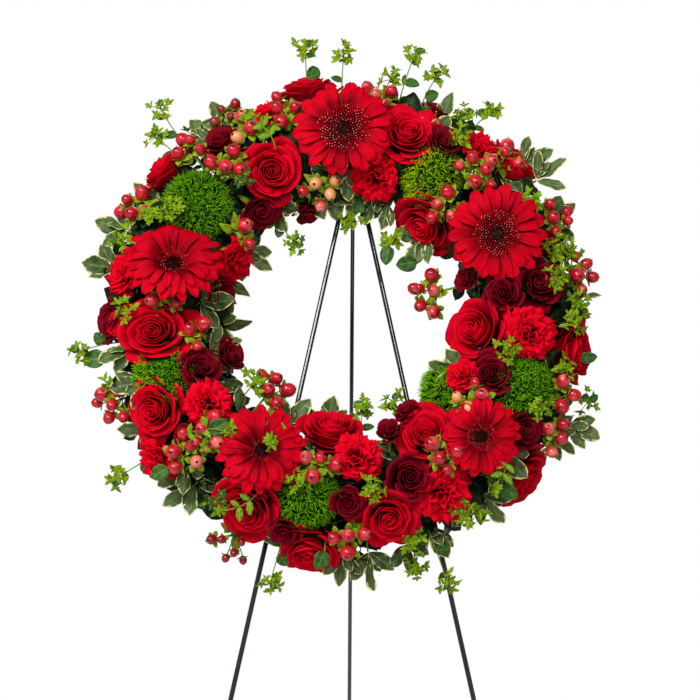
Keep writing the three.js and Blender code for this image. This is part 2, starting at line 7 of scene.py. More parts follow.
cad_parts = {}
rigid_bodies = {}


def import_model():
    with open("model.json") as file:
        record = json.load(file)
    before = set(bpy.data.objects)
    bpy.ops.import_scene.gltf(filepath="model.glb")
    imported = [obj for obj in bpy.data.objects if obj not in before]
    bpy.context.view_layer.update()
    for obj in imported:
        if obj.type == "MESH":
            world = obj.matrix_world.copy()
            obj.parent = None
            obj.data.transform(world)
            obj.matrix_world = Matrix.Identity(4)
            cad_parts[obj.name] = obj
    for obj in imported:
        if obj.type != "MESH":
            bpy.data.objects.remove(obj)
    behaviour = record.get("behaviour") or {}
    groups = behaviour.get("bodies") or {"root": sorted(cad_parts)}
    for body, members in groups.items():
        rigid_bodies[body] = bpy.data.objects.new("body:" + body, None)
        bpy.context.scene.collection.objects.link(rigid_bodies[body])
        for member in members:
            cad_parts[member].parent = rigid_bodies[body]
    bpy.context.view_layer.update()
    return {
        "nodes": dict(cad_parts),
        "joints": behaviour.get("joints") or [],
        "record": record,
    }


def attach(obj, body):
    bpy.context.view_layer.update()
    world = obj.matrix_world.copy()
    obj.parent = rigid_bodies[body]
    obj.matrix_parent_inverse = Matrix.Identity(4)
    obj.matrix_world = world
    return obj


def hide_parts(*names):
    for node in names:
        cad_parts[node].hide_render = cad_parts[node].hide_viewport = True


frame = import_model()
print("frame loaded:", len(frame["nodes"]), "nodes")

mm = 0.001
standBody = frame["joints"][0]["parent"]  # the front frame, with the wreath on it
golden = math.pi * (3 - math.sqrt(5))


# the camera, the light and the floor

view = {
    "middle": (0.0105, -0.150, 0.995),  # what the camera looks at
    "distance": 2.5,
    "width": 0.773,  # seen at that distance
    "aside": 0.6,  # degrees round to the object's left
    "roll": 0.2,
}


def makeCamera():
    data = bpy.data.cameras.new("camera")
    camera = bpy.data.objects.new("camera", data)
    bpy.context.scene.collection.objects.link(camera)
    data.sensor_width = 36
    data.lens = data.sensor_width * view["distance"] / view["width"]
    aside = math.radians(view["aside"])
    x, y, z = view["middle"]
    distance = view["distance"]
    camera.location = (x - distance * math.sin(aside), y - distance * math.cos(aside), z)
    turns = [((0, 0, 1), -aside), ((1, 0, 0), math.pi / 2), ((0, 0, 1), math.radians(view["roll"]))]
    first, second, third = (Quaternion(axis, angle) for axis, angle in turns)
    camera.rotation_mode = "QUATERNION"
    camera.rotation_quaternion = first @ second @ third
    bpy.context.scene.camera = camera


studio = {
    "key": {"at": (-1.3, -2.3, 2.6), "size": 1.1, "watts": 78},
    "fill": {"at": (0.25, -2.6, 1.95), "size": 0.5, "watts": 17},
    "back": {"at": (0.4, 2.2, 2.4), "size": 1.6, "watts": 20},
    "world": 0.34,  # the light from all round
    "floorRadius": 3.2,
}


def makeLights():
    for name in ("key", "fill", "back"):
        light = studio[name]
        data = bpy.data.lights.new(name, "AREA")
        data.size = light["size"]
        data.energy = light["watts"]
        lamp = bpy.data.objects.new(name, data)
        lamp.location = light["at"]
        towards = np.array([0.0, 0.0, 1.0]) - np.array(light["at"])
        lamp.rotation_mode = "QUATERNION"
        lamp.rotation_quaternion = Vector(towards).to_track_quat("-Z", "Y")
        bpy.context.scene.collection.objects.link(lamp)
    world = bpy.data.worlds.new("studio")
    world.use_nodes = True
    nodes, links = world.node_tree.nodes, world.node_tree.links
    sky = nodes["Background"]
    seen = nodes.new("ShaderNodeLightPath")
    strength = nodes.new("ShaderNodeMapRange")  # white behind the object, softer as light on it
    strength.inputs["To Min"].default_value = studio["world"]
    links.new(seen.outputs["Is Camera Ray"], strength.inputs["Value"])
    links.new(strength.outputs["Result"], sky.inputs["Strength"])
    sky.inputs["Color"].default_value = (1.0, 1.0, 1.0, 1.0)
    bpy.context.scene.world = world
    bpy.context.scene.view_settings.view_transform = "Standard"


# shader maths as expressions

class Wire:
    # the output of a node, or of an expression on such outputs
    def __init__(self, shader, socket):
        self.shader = shader
        self.socket = socket

    def worked(self, operation, first, second=0.0):
        return self.shader.add("ShaderNodeMath", {"operation": operation}, {0: first, 1: second})

    def __add__(self, other):
        return self.worked("ADD", self, other)

    def __radd__(self, other):
        return self.worked("ADD", other, self)

    def __sub__(self, other):
        return self.worked("SUBTRACT", self, other)

    def __rsub__(self, other):
        return self.worked("SUBTRACT", other, self)

    def __mul__(self, other):
        return self.worked("MULTIPLY", self, other)

    def __rmul__(self, other):
        return self.worked("MULTIPLY", other, self)

    def __pow__(self, other):
        return self.worked("POWER", self, other)

    def size(self):
        return self.worked("ABSOLUTE", self)

    def wave(self):
        return self.worked("SINE", self)

    def step(self, low, high):
        # 0 below low, 1 above high, smooth between
        settings = {"interpolation_type": "SMOOTHSTEP"}
        sockets = {"Value": self, "From Min": low, "From Max": high}
        return self.shader.add("ShaderNodeMapRange", settings, sockets)

    def mix(self, first, second):
        # the first colour where this is 0, the second where it is 1
        settings = {"data_type": "RGBA"}
        return self.shader.add("ShaderNodeMix", settings, {0: self, 6: first, 7: second}, out=2)


class Shader:
    # a material, and the nodes added to it
    def __init__(self, name):
        self.material = bpy.data.materials.new(name)
        self.material.use_nodes = True
        self.tree = self.material.node_tree
        self.tree.nodes.clear()

    def add(self, kind, settings, sockets, out=0):
        node = self.tree.nodes.new(kind)
        for key, value in settings.items():
            setattr(node, key, value)
        for key, value in sockets.items():
            socket = node.inputs[key]
            if isinstance(value, Wire):
                self.tree.links.new(value.socket, socket)
            elif socket.type == "RGBA":
                socket.default_value = (*value, 1.0)
            else:
                socket.default_value = value
        return Wire(self, node.outputs[out]) if len(node.outputs) else node

    def mark(self, name):
        return self.add("ShaderNodeAttribute", {"attribute_name": name}, {}, out="Fac")

    def place(self):
        return self.add("ShaderNodeTexCoord", {}, {}, out="Object")

    def noise(self, vector, scale, detail=2.0, roughness=0.5):
        sockets = {"Vector": vector, "Scale": scale, "Detail": detail, "Roughness": roughness}
        return self.add("ShaderNodeTexNoise", {}, sockets)

    def bump(self, height, strength, distance=mm):
        sockets = {"Height": height, "Strength": strength, "Distance": distance}
        return self.add("ShaderNodeBump", {}, sockets)

    def finish(self, colour, roughness, normal=None, **fixed):
        sockets = {"Base Color": colour, "Roughness": roughness}
        if normal:
            sockets["Normal"] = normal
        sockets.update({key.replace("_", " "): value for key, value in fixed.items()})
        surface = self.add("ShaderNodeBsdfPrincipled", {}, sockets)
        self.add("ShaderNodeOutputMaterial", {}, {"Surface": surface})
        return self.material


# meshes: sheets with a thickness, and tubes, gathered into pieces

# layer sets a bloom's petal brightness, partly its own tone and partly painted shade, and how far past their
# best the berries are
markNames = ("along", "across", "tone", "layer")


class Piece:
    # the sheets and tubes of one object, with marks on their points for the materials to read
    def __init__(self, name):
        self.name = name
        self.points = []
        self.marks = []
        self.faces = []
        self.slots = []
        self.materials = []
        self.count = 0

    def slotOf(self, material):
        if material not in self.materials:
            self.materials.append(material)
        return self.materials.index(material)

    def keep(self, points, marks, faces, material):
        self.points.append(points.reshape(-1, 3))
        self.marks.append(marks.reshape(-1, len(markNames)))
        for block in faces:
            self.faces.append(block.reshape(-1, block.shape[-1]) + self.count)
            self.slots.append(np.full(len(self.faces[-1]), self.slotOf(material)))
        self.count += self.points[-1].shape[0]

    def sheets(self, grids, material, thickness, tone=0.5, layer=0.5):
        # grids is (sheets, rows, columns, 3); each becomes a closed sheet of that thickness
        number, rows, columns = grids.shape[:3]
        normals = unit(np.cross(np.gradient(grids, axis=2), np.gradient(grids, axis=1)))
        points = np.concatenate([grids, grids - normals * thickness], axis=1)
        index = np.arange(2 * rows * columns).reshape(2, rows, columns)
        front, back = index
        quads = [quadsOf(front), quadsOf(back)[:, ::-1]]
        for edge in (front[0], front[:, -1], front[-1, ::-1], front[::-1, 0]):
            other = edge + rows * columns
            quads.append(np.stack([edge[:-1], other[:-1], other[1:], edge[1:]], axis=-1))
        faces = np.concatenate(quads)[None] + (np.arange(number) * index.size)[:, None, None]
        marks = marksOf(number, rows, columns, tone, layer)
        self.keep(points, np.concatenate([marks, marks], axis=1), [faces], material)

    def tubes(self, rings, material, tone=0.5, layer=0.5):
        # rings is (tubes, rings, points round, 3), closed at both ends
        number, rows, sides = rings.shape[:3]
        index = np.arange(rows * sides).reshape(rows, sides)
        quads = quadsOf(np.concatenate([index, index[:, :1]], axis=1))
        offsets = (np.arange(number) * index.size)[:, None, None]
        ends = np.stack([index[0, ::-1], index[-1]])
        faces = [quads[None] + offsets, ends[None] + offsets]
        self.keep(rings, marksOf(number, rows, sides, tone, layer), faces, material)

    def build(self, body, replaces=()):
        mesh = bpy.data.meshes.new(self.name)
        points = np.concatenate(self.points)
        mesh.vertices.add(len(points))
        mesh.vertices.foreach_set("co", points.astype(np.float32).ravel())
        corners = np.concatenate([block.ravel() for block in self.faces])
        sizes = np.concatenate([np.full(len(block), block.shape[1]) for block in self.faces])
        mesh.loops.add(len(corners))
        mesh.loops.foreach_set("vertex_index", corners.astype(np.int32))
        mesh.polygons.add(len(sizes))
        mesh.polygons.foreach_set("loop_start", (np.cumsum(sizes) - sizes).astype(np.int32))
        mesh.polygons.foreach_set("material_index", np.concatenate(self.slots).astype(np.int32))
        mesh.polygons.foreach_set("use_smooth", np.ones(len(sizes), bool))
        mesh.update(calc_edges=True)
        marks = np.concatenate(self.marks).astype(np.float32)
        for column, name in enumerate(markNames):
            mesh.attributes.new(name, "FLOAT", "POINT").data.foreach_set("value", marks[:, column])
        for material in self.materials:
            mesh.materials.append(material)
        made = bpy.data.objects.new(self.name, mesh)
        bpy.context.scene.collection.objects.link(made)
        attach(made, body)
        if replaces:
            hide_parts(*replaces)
        return made


def unit(vectors):
    return vectors / np.maximum(np.linalg.norm(vectors, axis=-1, keepdims=True), 1e-12)


def quadsOf(index):
    corners = [index[:-1, :-1], index[:-1, 1:], index[1:, 1:], index[1:, :-1]]
    return np.stack(corners, axis=-1).reshape(-1, 4)


def perSheet(value, number):
    # one value for each of a number of sheets, from a single value or a list
    return np.reshape(np.broadcast_to(value, number), (number, 1, 1))


def marksOf(number, rows, columns, tone, layer):
    marks = np.zeros((number, rows, columns, len(markNames)))
    marks[..., 0] = np.linspace(0, 1, rows)[:, None]
    marks[..., 1] = np.linspace(-1, 1, columns)
    marks[..., 2] = perSheet(tone, number)
    marks[..., 3] = perSheet(layer, number)
    return marks


def ringsRound(paths, radii, sides):
    # points round each path: (tubes, steps, sides, 3)
    along = unit(np.gradient(paths, axis=1))
    side = unit(np.cross(along, np.array([0.31, -0.22, 0.93])))  # a direction that no path follows
    other = np.cross(along, side)
    angles = np.arange(sides) * 2 * math.pi / sides
    circle = np.cos(angles)[:, None] * side[:, :, None] + np.sin(angles)[:, None] * other[:, :, None]
    return paths[:, :, None] + np.broadcast_to(radii, paths.shape[:2])[:, :, None, None] * circle


def bezier(points, steps):
    # points is (control points, paths, 3); gives (paths, steps, 3) from the first point to the last
    t = np.linspace(0, 1, steps)[:, None]
    order = len(points) - 1
    return sum(math.comb(order, i) * t**i * (1 - t) ** (order - i) * p[:, None] for i, p in enumerate(points))


def turnedAbout(profile, sides, scale=1.0):
    # a profile of radius and height turned about +Z: (1, points, sides, 3)
    profile = np.array(profile) * scale
    angles = np.arange(sides) * 2 * math.pi / sides
    across = profile[:, :1] * np.stack([np.cos(angles), np.sin(angles)])[:, None]
    height = np.broadcast_to(profile[:, 1:], across.shape[1:])
    return np.stack([across[0], across[1], height], axis=-1)[None]


def framesOf(along, face):
    # rows are the directions of local x, y and z: x is along, z near face, which may be one for all
    x = unit(along)
    y = unit(np.cross(face, x))
    return np.stack([x, y, np.cross(x, y)], axis=-2)


def placed(grids, origins, frames):
    # each grid moved to its own origin and turned into its own frame
    return np.einsum("nrck,nkj->nrcj", grids, frames) + origins[:, None, None]


def seated(grids, face, turn):
    # all the grids moved to one bloom's face and turned into its frame
    return placed(grids, np.repeat(face[None], len(grids), axis=0), np.repeat(turn, len(grids), axis=0))


def fanned(angles, first, second):
    # directions at these angles, from the first one towards the second
    return np.cos(angles)[:, None] * first + np.sin(angles)[:, None] * second


def curveOf(controls, share):
    # radius and height at each share of the way along a curve, whose control points differ by petal
    order = len(controls) - 1
    weights = [math.comb(order, i) * share**i * (1 - share) ** (order - i) for i in range(order + 1)]
    return [sum(weight * control[part] for weight, control in zip(weights, controls)) for part in (0, 1)]


def throwOf(number, dice):
    # throw(spread) then gives each of the sheets a value between -spread and spread
    def throw(spread):
        return dice.uniform(-spread, spread, number)[:, None, None]
    return throw


def ramp(t, low, high):
    # 0 below low, 1 above high, smooth between
    share = np.clip((t - low) / (high - low), 0, 1)
    return share * share * (3 - 2 * share)


# where the plants stand

def pointsOf(node):
    mesh = frame["nodes"][node].data
    points = np.empty(3 * len(mesh.vertices), np.float32)
    mesh.vertices.foreach_get("co", points)
    return np.unique(points.reshape(-1, 3).round(6), axis=0).astype(float)


def ringFrame():
    # the foam's middle circle, from the tray's and the foam's solids
    tray = pointsOf("foam_tray")
    middle = tray.mean(axis=0)
    front = np.linalg.svd(tray - middle)[2][2]
    front = front * -np.sign(front[1])
    foam = (pointsOf("foam_ring") - middle) @ front
    middle = middle + front * (foam.min() + foam.max()) / 2
    flat = (tray - middle) - np.outer((tray - middle) @ front, front)
    radii = np.linalg.norm(flat, axis=1)
    right = unit(np.cross(np.array([0.0, 0.0, 1.0]), -front))
    right = right * np.sign(right[0])
    up = np.cross(front, right)
    up = up * np.sign(up[2])
    radius = (radii.min() + radii.max()) / 2
    return {"middle": middle, "front": front, "right": right, "up": up, "radius": radius}


ring = ringFrame()
stance = {
    "reach": 86 * mm,  # how far plants stand out from the foam's middle circle
    "fuller": 9 * mm,  # more at the bottom, less at the top
    "steepest": math.radians(75),  # how far they lean from the front
}


def outwardAt(angle):
    a = math.radians(angle)
    return math.cos(a) * ring["right"] + math.sin(a) * ring["up"]


def standAt(angle, at):
    # where a plant stands, from its angle on the ring and its face's distance from the ring's centre in mm:
    # core is its root, axis the way it points and reach its length
    offset = at * mm - ring["radius"]
    reach = stance["reach"] - stance["fuller"] * math.sin(math.radians(angle))
    lean = math.copysign(stance["steepest"], offset)
    if abs(offset) <= reach * math.sin(stance["steepest"]):
        lean = math.asin(offset / reach)
    else:
        reach = abs(offset) / math.sin(stance["steepest"])
    outward = outwardAt(angle)
    return {
        "core": ring["middle"] + ring["radius"] * outward,
        "axis": math.cos(lean) * ring["front"] + math.sin(lean) * outward,
        "reach": reach,
        "outward": outward,
    }


def standOf(node):
    # face, axis and size of a bloom, from its solid; its root is the end nearest the foam's middle circle
    points = pointsOf(node)
    level = (points - ring["middle"]) @ ring["front"]
    flat = points - ring["middle"] - np.outer(level, ring["front"])
    fromCore = np.hypot(np.linalg.norm(flat, axis=1) - ring["radius"], level)
    end = points[np.argsort(fromCore)[:4]]
    root = end.mean(axis=0)
    axis = np.linalg.svd(end - root)[2][2]
    axis = axis * np.sign((points.mean(axis=0) - root) @ axis)
    along = (points - root) @ axis
    out = np.linalg.norm(points - root - np.outer(along, axis), axis=1)
    return {"root": root, "axis": axis, "face": root + axis * along.max(), "size": 2 * out.max()}


def bloomFrame(axis, spin):
    # local +Z is the axis; local x starts level and is turned by spin
    level = unit(np.cross(np.array([0.0, 0.0, 1.0]), axis))
    upright = np.cross(axis, level)
    x = math.cos(spin) * level + math.sin(spin) * upright
    return np.stack([x, np.cross(axis, x), axis])[None]


def faceOf(place):
    return place["core"] + place["axis"] * place["reach"]


def towardsRim(place, at):
    # outward for a plant outside the foam's middle circle, inward for one inside it
    return place["outward"] * math.copysign(1.0, at * mm - ring["radius"])


stemLook = {  # radius, and points round it
    "bloom": (2.2 * mm, 6), "spray": (1.8 * mm, 6), "cluster": (1.3 * mm, 6), "twig": (1.1 * mm, 6),
    "leaf": (0.9 * mm, 5), "berry": (0.7 * mm, 5), "star": (0.45 * mm, 4),
}


def addStem(piece, kind, start, end):
    radius, sides = stemLook[kind]
    piece.tubes(ringsRound(np.stack([start, end])[None], radius, sides), leafSkin["stem"])


# finishes

def petalFinish(name, look):
    shader = Shader(name)
    along, across, tone, layer = (shader.mark(each) for each in markNames)
    grain = shader.add("ShaderNodeCombineXYZ", {}, {0: across * look["veins"], 1: along * 1.6, 2: tone * 17})
    veins = shader.noise(grain, 1.0, 3.0)
    cloud = shader.noise(shader.place(), 55.0)
    # darker towards each petal's foot, deep in the bloom: painted shade; layer sets a whole bloom's
    # brightness, partly its own tone and partly painted shade; tone and cloud vary at random
    lit = (along.step(look["from"], 1.0) * 0.62 + layer * 0.42 + (tone - 0.5) * 0.35 + (cloud - 0.5) * 0.5)
    colour = lit.step(0.0, 0.9).mix(look["deep"], look["body"])
    # near the lip the petals take the light colour: a painted highlight, stronger where layer is higher
    colour = (along.step(0.84, 1.0) * veins * look["edge"] * layer).mix(colour, look["light"])
    colour = ((veins - 0.45).step(0.0, 0.4) * 0.3).mix(colour, look["deep"])
    normal = shader.bump(veins, look["relief"])
    rough = look["rough"] + (cloud - 0.5) * 0.15
    return shader.finish(colour, rough, normal, Sheen_Weight=look["sheen"], Sheen_Roughness=0.4,
                         Sheen_Tint=look["light"], Specular_IOR_Level=look["gloss"])


def leafFinish(name, look):
    shader = Shader(name)
    along, across, tone, layer = (shader.mark(each) for each in markNames)
    grain = shader.add("ShaderNodeCombineXYZ", {}, {0: across * 2.2, 1: along * 5.0, 2: tone * 13})
    cloud = shader.noise(grain, 1.0, 3.0)
    rib = 1 - across.size().step(0.0, 0.14)
    side = ((across.size() * 5.0 - along * 16.0).wave()).step(0.3, 1.0)
    body = (cloud.step(0.35, 0.65) * 0.5 + tone * 0.5).mix(look["deep"], look["body"])
    body = (side * 0.16 + rib * 0.55).mix(body, look["rib"])
    edge = (across.size() + (along - 0.5).size() ** 3.0 * 3.2 + (cloud - 0.5) * 1.0).step(0.88, 0.94)
    colour = (edge * look["margin"]).mix(body, look["rim"])
    normal = shader.bump(rib * 0.6 + side * 0.25 + cloud * 0.5, look["relief"])
    return shader.finish(colour, look["rough"] + (cloud - 0.5) * 0.12, normal, Specular_IOR_Level=0.16)


def spikeFinish(name, look):
    # blades and florets, darker at the foot, which is painted shade where they stand deep among each other,
    # and pale at the tip
    shader = Shader(name)
    along, across, tone, layer = (shader.mark(each) for each in markNames)
    cloud = shader.noise(shader.place(), 90.0)
    body = (along.step(0.05, 0.75) * 0.8 + (cloud - 0.5) * 0.5).step(0.0, 0.8).mix(look["deep"], look["body"])
    pale = along.step(look["from"], 1.0) * (tone + (cloud - 0.5) * 0.6).step(*look["share"])
    colour = (pale * look["much"]).mix(body, look["tip"])
    rough = look["rough"] + (cloud - 0.5) * 0.1
    return shader.finish(colour, rough, shader.bump(cloud, 0.2), Specular_IOR_Level=0.04)


def berryFinish():
    shader = Shader("berry_skin")
    along, across, tone, layer = (shader.mark(each) for each in markNames)
    place = shader.place()
    cloud = shader.noise(place, 150.0)
    patch = shader.noise(place, 75.0, 1.0)
    red = (cloud.step(0.35, 0.7)).mix((0.34, 0.002, 0.010), (0.64, 0.006, 0.024))
    pale = tone.step(0.80, 0.86).mix((0.86, 0.22, 0.17), (0.85, 0.42, 0.16))
    blush = (patch + (tone - 0.5) * 0.55).step(0.46, 0.78)
    colour = (blush * 0.75).mix(red, pale)
    colour = (layer.step(0.6, 0.9) * 0.7).mix(colour, (0.16, 0.003, 0.006))
    flecks = shader.add("ShaderNodeTexVoronoi", {}, {"Vector": place, "Scale": 1100.0}, out="Distance")
    colour = ((1 - flecks.step(0.12, 0.24)) * 0.14).mix(colour, (0.9, 0.55, 0.4))
    colour = along.step(0.93, 0.985).mix(colour, (0.10, 0.006, 0.004))
    rough = 0.22 + cloud * 0.12
    return shader.finish(colour, rough, shader.bump(cloud, 0.1), Coat_Weight=0.35, Coat_Roughness=0.12,
                         Specular_IOR_Level=0.3)


def enamelFinish():
    shader = Shader("green_enamel")
    place = shader.place()
    skin = shader.noise(place, 420.0, 2.0)
    drift = shader.noise(place, 9.0, 3.0)
    colour = drift.step(0.3, 0.7).mix((0.0016, 0.0042, 0.0034), (0.004, 0.012, 0.009))
    rough = 0.16 + (drift - 0.5) * 0.08
    normal = shader.bump(skin, 0.03, 0.01 * mm)
    return shader.finish(colour, rough, normal, Coat_Weight=1.0, Coat_Roughness=0.06)


def steelFinish():
    shader = Shader("pin_steel")
    place = shader.place()
    fine = shader.noise(place, 900.0, 3.0)
    stain = shader.noise(place, 260.0, 2.0)
    colour = stain.step(0.4, 0.7).mix((0.50, 0.50, 0.48), (0.30, 0.29, 0.27))
    return shader.finish(colour, 0.32 + stain * 0.2, shader.bump(fine, 0.2), Metallic=1.0)


def vinylFinish():
    shader = Shader("vinyl")
    place = shader.place()
    skin = shader.noise(place, 700.0, 3.0)
    dust = shader.noise(place, 120.0, 3.0)
    colour = (dust.step(0.45, 0.8) * 0.7).mix((0.006, 0.007, 0.006), (0.035, 0.035, 0.032))
    return shader.finish(colour, 0.5 + dust * 0.15, shader.bump(skin, 0.3))


def trayFinish():
    shader = Shader("tray_plastic")
    place = shader.place()
    skin = shader.noise(place, 500.0, 3.0)
    scuffs = shader.noise(place, 60.0, 5.0, 0.7)
    colour = scuffs.step(0.35, 0.75).mix((0.010, 0.032, 0.016), (0.022, 0.062, 0.032))
    return shader.finish(colour, 0.38 + scuffs * 0.2, shader.bump(skin * 0.6 + scuffs * 0.4, 0.25))


def foamFinish():
    shader = Shader("flower_foam")
    place = shader.place()
    cells = shader.add("ShaderNodeTexVoronoi", {}, {"Vector": place, "Scale": 900.0}, out="Distance")
    crumbs = shader.noise(place, 160.0, 5.0, 0.7)
    colour = crumbs.step(0.3, 0.7).mix((0.006, 0.022, 0.008), (0.02, 0.07, 0.025))
    return shader.finish(colour, 0.9, shader.bump(cells + crumbs, 0.5))


# deep is the colour of the petals' feet, where it is painted shade, and of their veins; light is a painted
# highlight on their lips, and edge says how strong it is
reds = {
    "rose": {
        "deep": (0.075, 0.0003, 0.0030), "body": (0.57, 0.0004, 0.0125), "light": (0.74, 0.002, 0.024),
        "from": 0.3, "veins": 7.0, "edge": 0.5, "relief": 0.2, "rough": 0.62, "sheen": 0.0, "gloss": 0.03,
    },
    "darkRose": {
        "deep": (0.006, 0.0002, 0.0010), "body": (0.150, 0.0006, 0.0068), "light": (0.34, 0.003, 0.022),
        "from": 0.35, "veins": 7.0, "edge": 0.6, "relief": 0.22, "rough": 0.6, "sheen": 0.0, "gloss": 0.04,
    },
    "carnation": {
        "deep": (0.15, 0.0003, 0.0036), "body": (0.68, 0.0005, 0.0135), "light": (0.86, 0.003, 0.028),
        "from": 0.4, "veins": 11.0, "edge": 0.7, "relief": 0.3, "rough": 0.62, "sheen": 0.0, "gloss": 0.03,
    },
    "gerbera": {
        "deep": (0.085, 0.0002, 0.0020), "body": (0.55, 0.0003, 0.0115), "light": (0.72, 0.002, 0.022),
        "from": 0.0, "veins": 5.0, "edge": 0.3, "relief": 0.35, "rough": 0.62, "sheen": 0.0, "gloss": 0.03,
    },
}
greens = {
    "sepal": {
        "deep": (0.09, 0.19, 0.004), "body": (0.30, 0.42, 0.008), "rib": (0.40, 0.48, 0.03),
        "rim": (0.34, 0.16, 0.03), "margin": 0.3, "relief": 0.25, "rough": 0.45,
    },
    "bract": {
        "deep": (0.045, 0.14, 0.003), "body": (0.25, 0.42, 0.004), "rib": (0.34, 0.47, 0.012),
        "rim": (0.30, 0.42, 0.012), "margin": 0.3, "relief": 0.2, "rough": 0.5,
    },
    "roundLeaf": {
        "deep": (0.012, 0.050, 0.006), "body": (0.048, 0.135, 0.018), "rib": (0.16, 0.27, 0.05),
        "rim": (0.18, 0.28, 0.04), "margin": 0.25, "relief": 0.3, "rough": 0.42,
    },
    "creamLeaf": {
        "deep": (0.028, 0.056, 0.016), "body": (0.092, 0.150, 0.046), "rib": (0.20, 0.27, 0.08),
        "rim": (0.66, 0.62, 0.24), "margin": 1.0, "relief": 0.35, "rough": 0.4,
    },
    # near-black leaves, painted as the shade in the gaps between the blooms
    "shadowLeaf": {
        "deep": (0.0015, 0.006, 0.0014), "body": (0.008, 0.026, 0.0045), "rib": (0.03, 0.07, 0.014),
        "rim": (0.02, 0.05, 0.01), "margin": 0.3, "relief": 0.3, "rough": 0.5,
    },
    "stem": {
        "deep": (0.09, 0.16, 0.02), "body": (0.24, 0.34, 0.03), "rib": (0.30, 0.36, 0.06),
        "rim": (0.25, 0.33, 0.05), "margin": 0.0, "relief": 0.2, "rough": 0.5,
    },
}
spikes = {
    "dianthusBlade": {
        "deep": (0.007, 0.030, 0.0005), "body": (0.100, 0.29, 0.0008), "tip": (0.30, 0.70, 0.003),
        "from": 0.5, "share": (0.1, 0.9), "much": 0.9, "rough": 0.6,
    },
    # the core under the blades, near black: painted shade between the blades
    "dianthusCoreShade": {
        "deep": (0.004, 0.020, 0.0004), "body": (0.022, 0.085, 0.0006), "tip": (0.04, 0.12, 0.001),
        "from": 0.8, "share": (0.3, 0.9), "much": 0.3, "rough": 0.8,
    },
    "paleDianthusBlade": {
        "deep": (0.012, 0.026, 0.0005), "body": (0.14, 0.29, 0.0008), "tip": (0.58, 0.86, 0.003),
        "from": 0.45, "share": (0.1, 0.8), "much": 0.9, "rough": 0.6,
    },
    "innerFloret": {
        "deep": (0.10, 0.0004, 0.0024), "body": (0.42, 0.0015, 0.010), "tip": (0.80, 0.26, 0.20),
        "from": 0.72, "share": (0.56, 0.74), "much": 0.85, "rough": 0.5,
    },
    "discFloret": {
        "deep": (0.006, 0.001, 0.001), "body": (0.030, 0.003, 0.003), "tip": (0.36, 0.20, 0.05),
        "from": 0.8, "share": (0.82, 0.92), "much": 0.7, "rough": 0.6,
    },
    "yellowFlower": {
        "deep": (0.14, 0.20, 0.004), "body": (0.42, 0.46, 0.005), "tip": (0.66, 0.52, 0.008),
        "from": 0.4, "share": (0.2, 0.7), "much": 0.8, "rough": 0.55,
    },
}
petalSkin = {name: petalFinish(name + "_petal", look) for name, look in reds.items()}
leafSkin = {name: leafFinish(name + "_skin", look) for name, look in greens.items()}
spikeSkin = {name: spikeFinish(name, look) for name, look in spikes.items()}
berrySkin = berryFinish()
print("finishes made")


# roses

roseLook = {  # curl is how far the lips roll back, jitter how unevenly the petals are turned
    "petals": 29, "rows": 9, "columns": 9, "thickness": 0.45 * mm, "curl": 0.13, "jitter": 0.3,
}
sprayLook = {"petals": 21, "rows": 7, "columns": 7, "thickness": 0.4 * mm, "curl": 0.12, "jitter": 0.35}
calyxLook = {  # as shares of the bloom's size; the cup is given by radius and height
    "sepals": 5, "length": 0.42, "width": 0.07, "out": 0.08, "down": 0.58,
    "cup": [(0.02, -0.70), (0.10, -0.66), (0.11, -0.58), (0.06, -0.52)],
}


def rosePetals(size, look, dice):
    # petals round +Z in a spiral, the face at height 0; the outer ones flare and roll back at the lip
    number = look["petals"]
    radius = size / 2
    outer = np.linspace(0, 1, number)[:, None, None]  # 0 for the innermost petal, 1 for the outermost
    up = np.linspace(0, 1, look["rows"])[None, :, None] ** 0.85  # 0 at a petal's foot, 1 at its lip
    across = np.linspace(-1, 1, look["columns"])[None, None, :]
    throw = throwOf(number, dice)
    up = up * (1 - (0.08 + 0.12 * outer) * np.abs(across) ** 2.6)  # rounds the petals' corners
    reachOut = radius * (0.05 + 0.99 * outer**1.2) * (1 + throw(0.05))
    halfTurn = 0.74 + 1.1 * (1 - outer) ** 1.5 + throw(0.08)  # the inner petals wrap further round
    top = -radius * (0.02 * (1 - outer) ** 3 + 0.36 * outer**2.4) + radius * throw(0.035)
    flare = ramp(outer, 0.12, 0.75)
    controls = [
        (0.08 * radius, -1.16 * radius),
        (0.10 * radius + 0.50 * reachOut, -0.98 * radius),
        ((0.95 - 0.33 * flare) * reachOut, top - (0.36 - 0.06 * flare) * radius),
        (reachOut, top),
    ]
    out, height = curveOf(controls, up)
    # the lip rolls back, most at the petal's corners
    roll = ramp(up, 0.70, 1.0) ** 1.4 * (0.35 + 0.95 * np.abs(across) ** 1.4)
    curl = radius * look["curl"] * (0.15 + 1.0 * outer) * (1 + throw(0.5))
    out = out + roll * curl * (1 - 0.3 * roll)
    height = height - roll * curl * (0.25 + 0.85 * outer)
    spin = golden * np.arange(number)[:, None, None] + throw(look["jitter"])
    # ripples at the lip, one side of a petal over the next, and a lean of its own
    ripple = np.sin(across * (2.0 + throw(0.9)) * math.pi + throw(3.0)) * up**3 * radius
    lean = throw(0.07) * up
    out = out * (1 + 0.12 * across * (1 - 0.55 * outer) + lean) + 0.014 * ripple
    height = height + 0.024 * ripple * (0.3 + outer) - 0.35 * lean * out
    angle = spin + halfTurn * across * (0.55 + 0.45 * np.clip(up, 0, 1))
    return np.stack([out * np.cos(angle), out * np.sin(angle), height + 0 * angle], axis=-1)


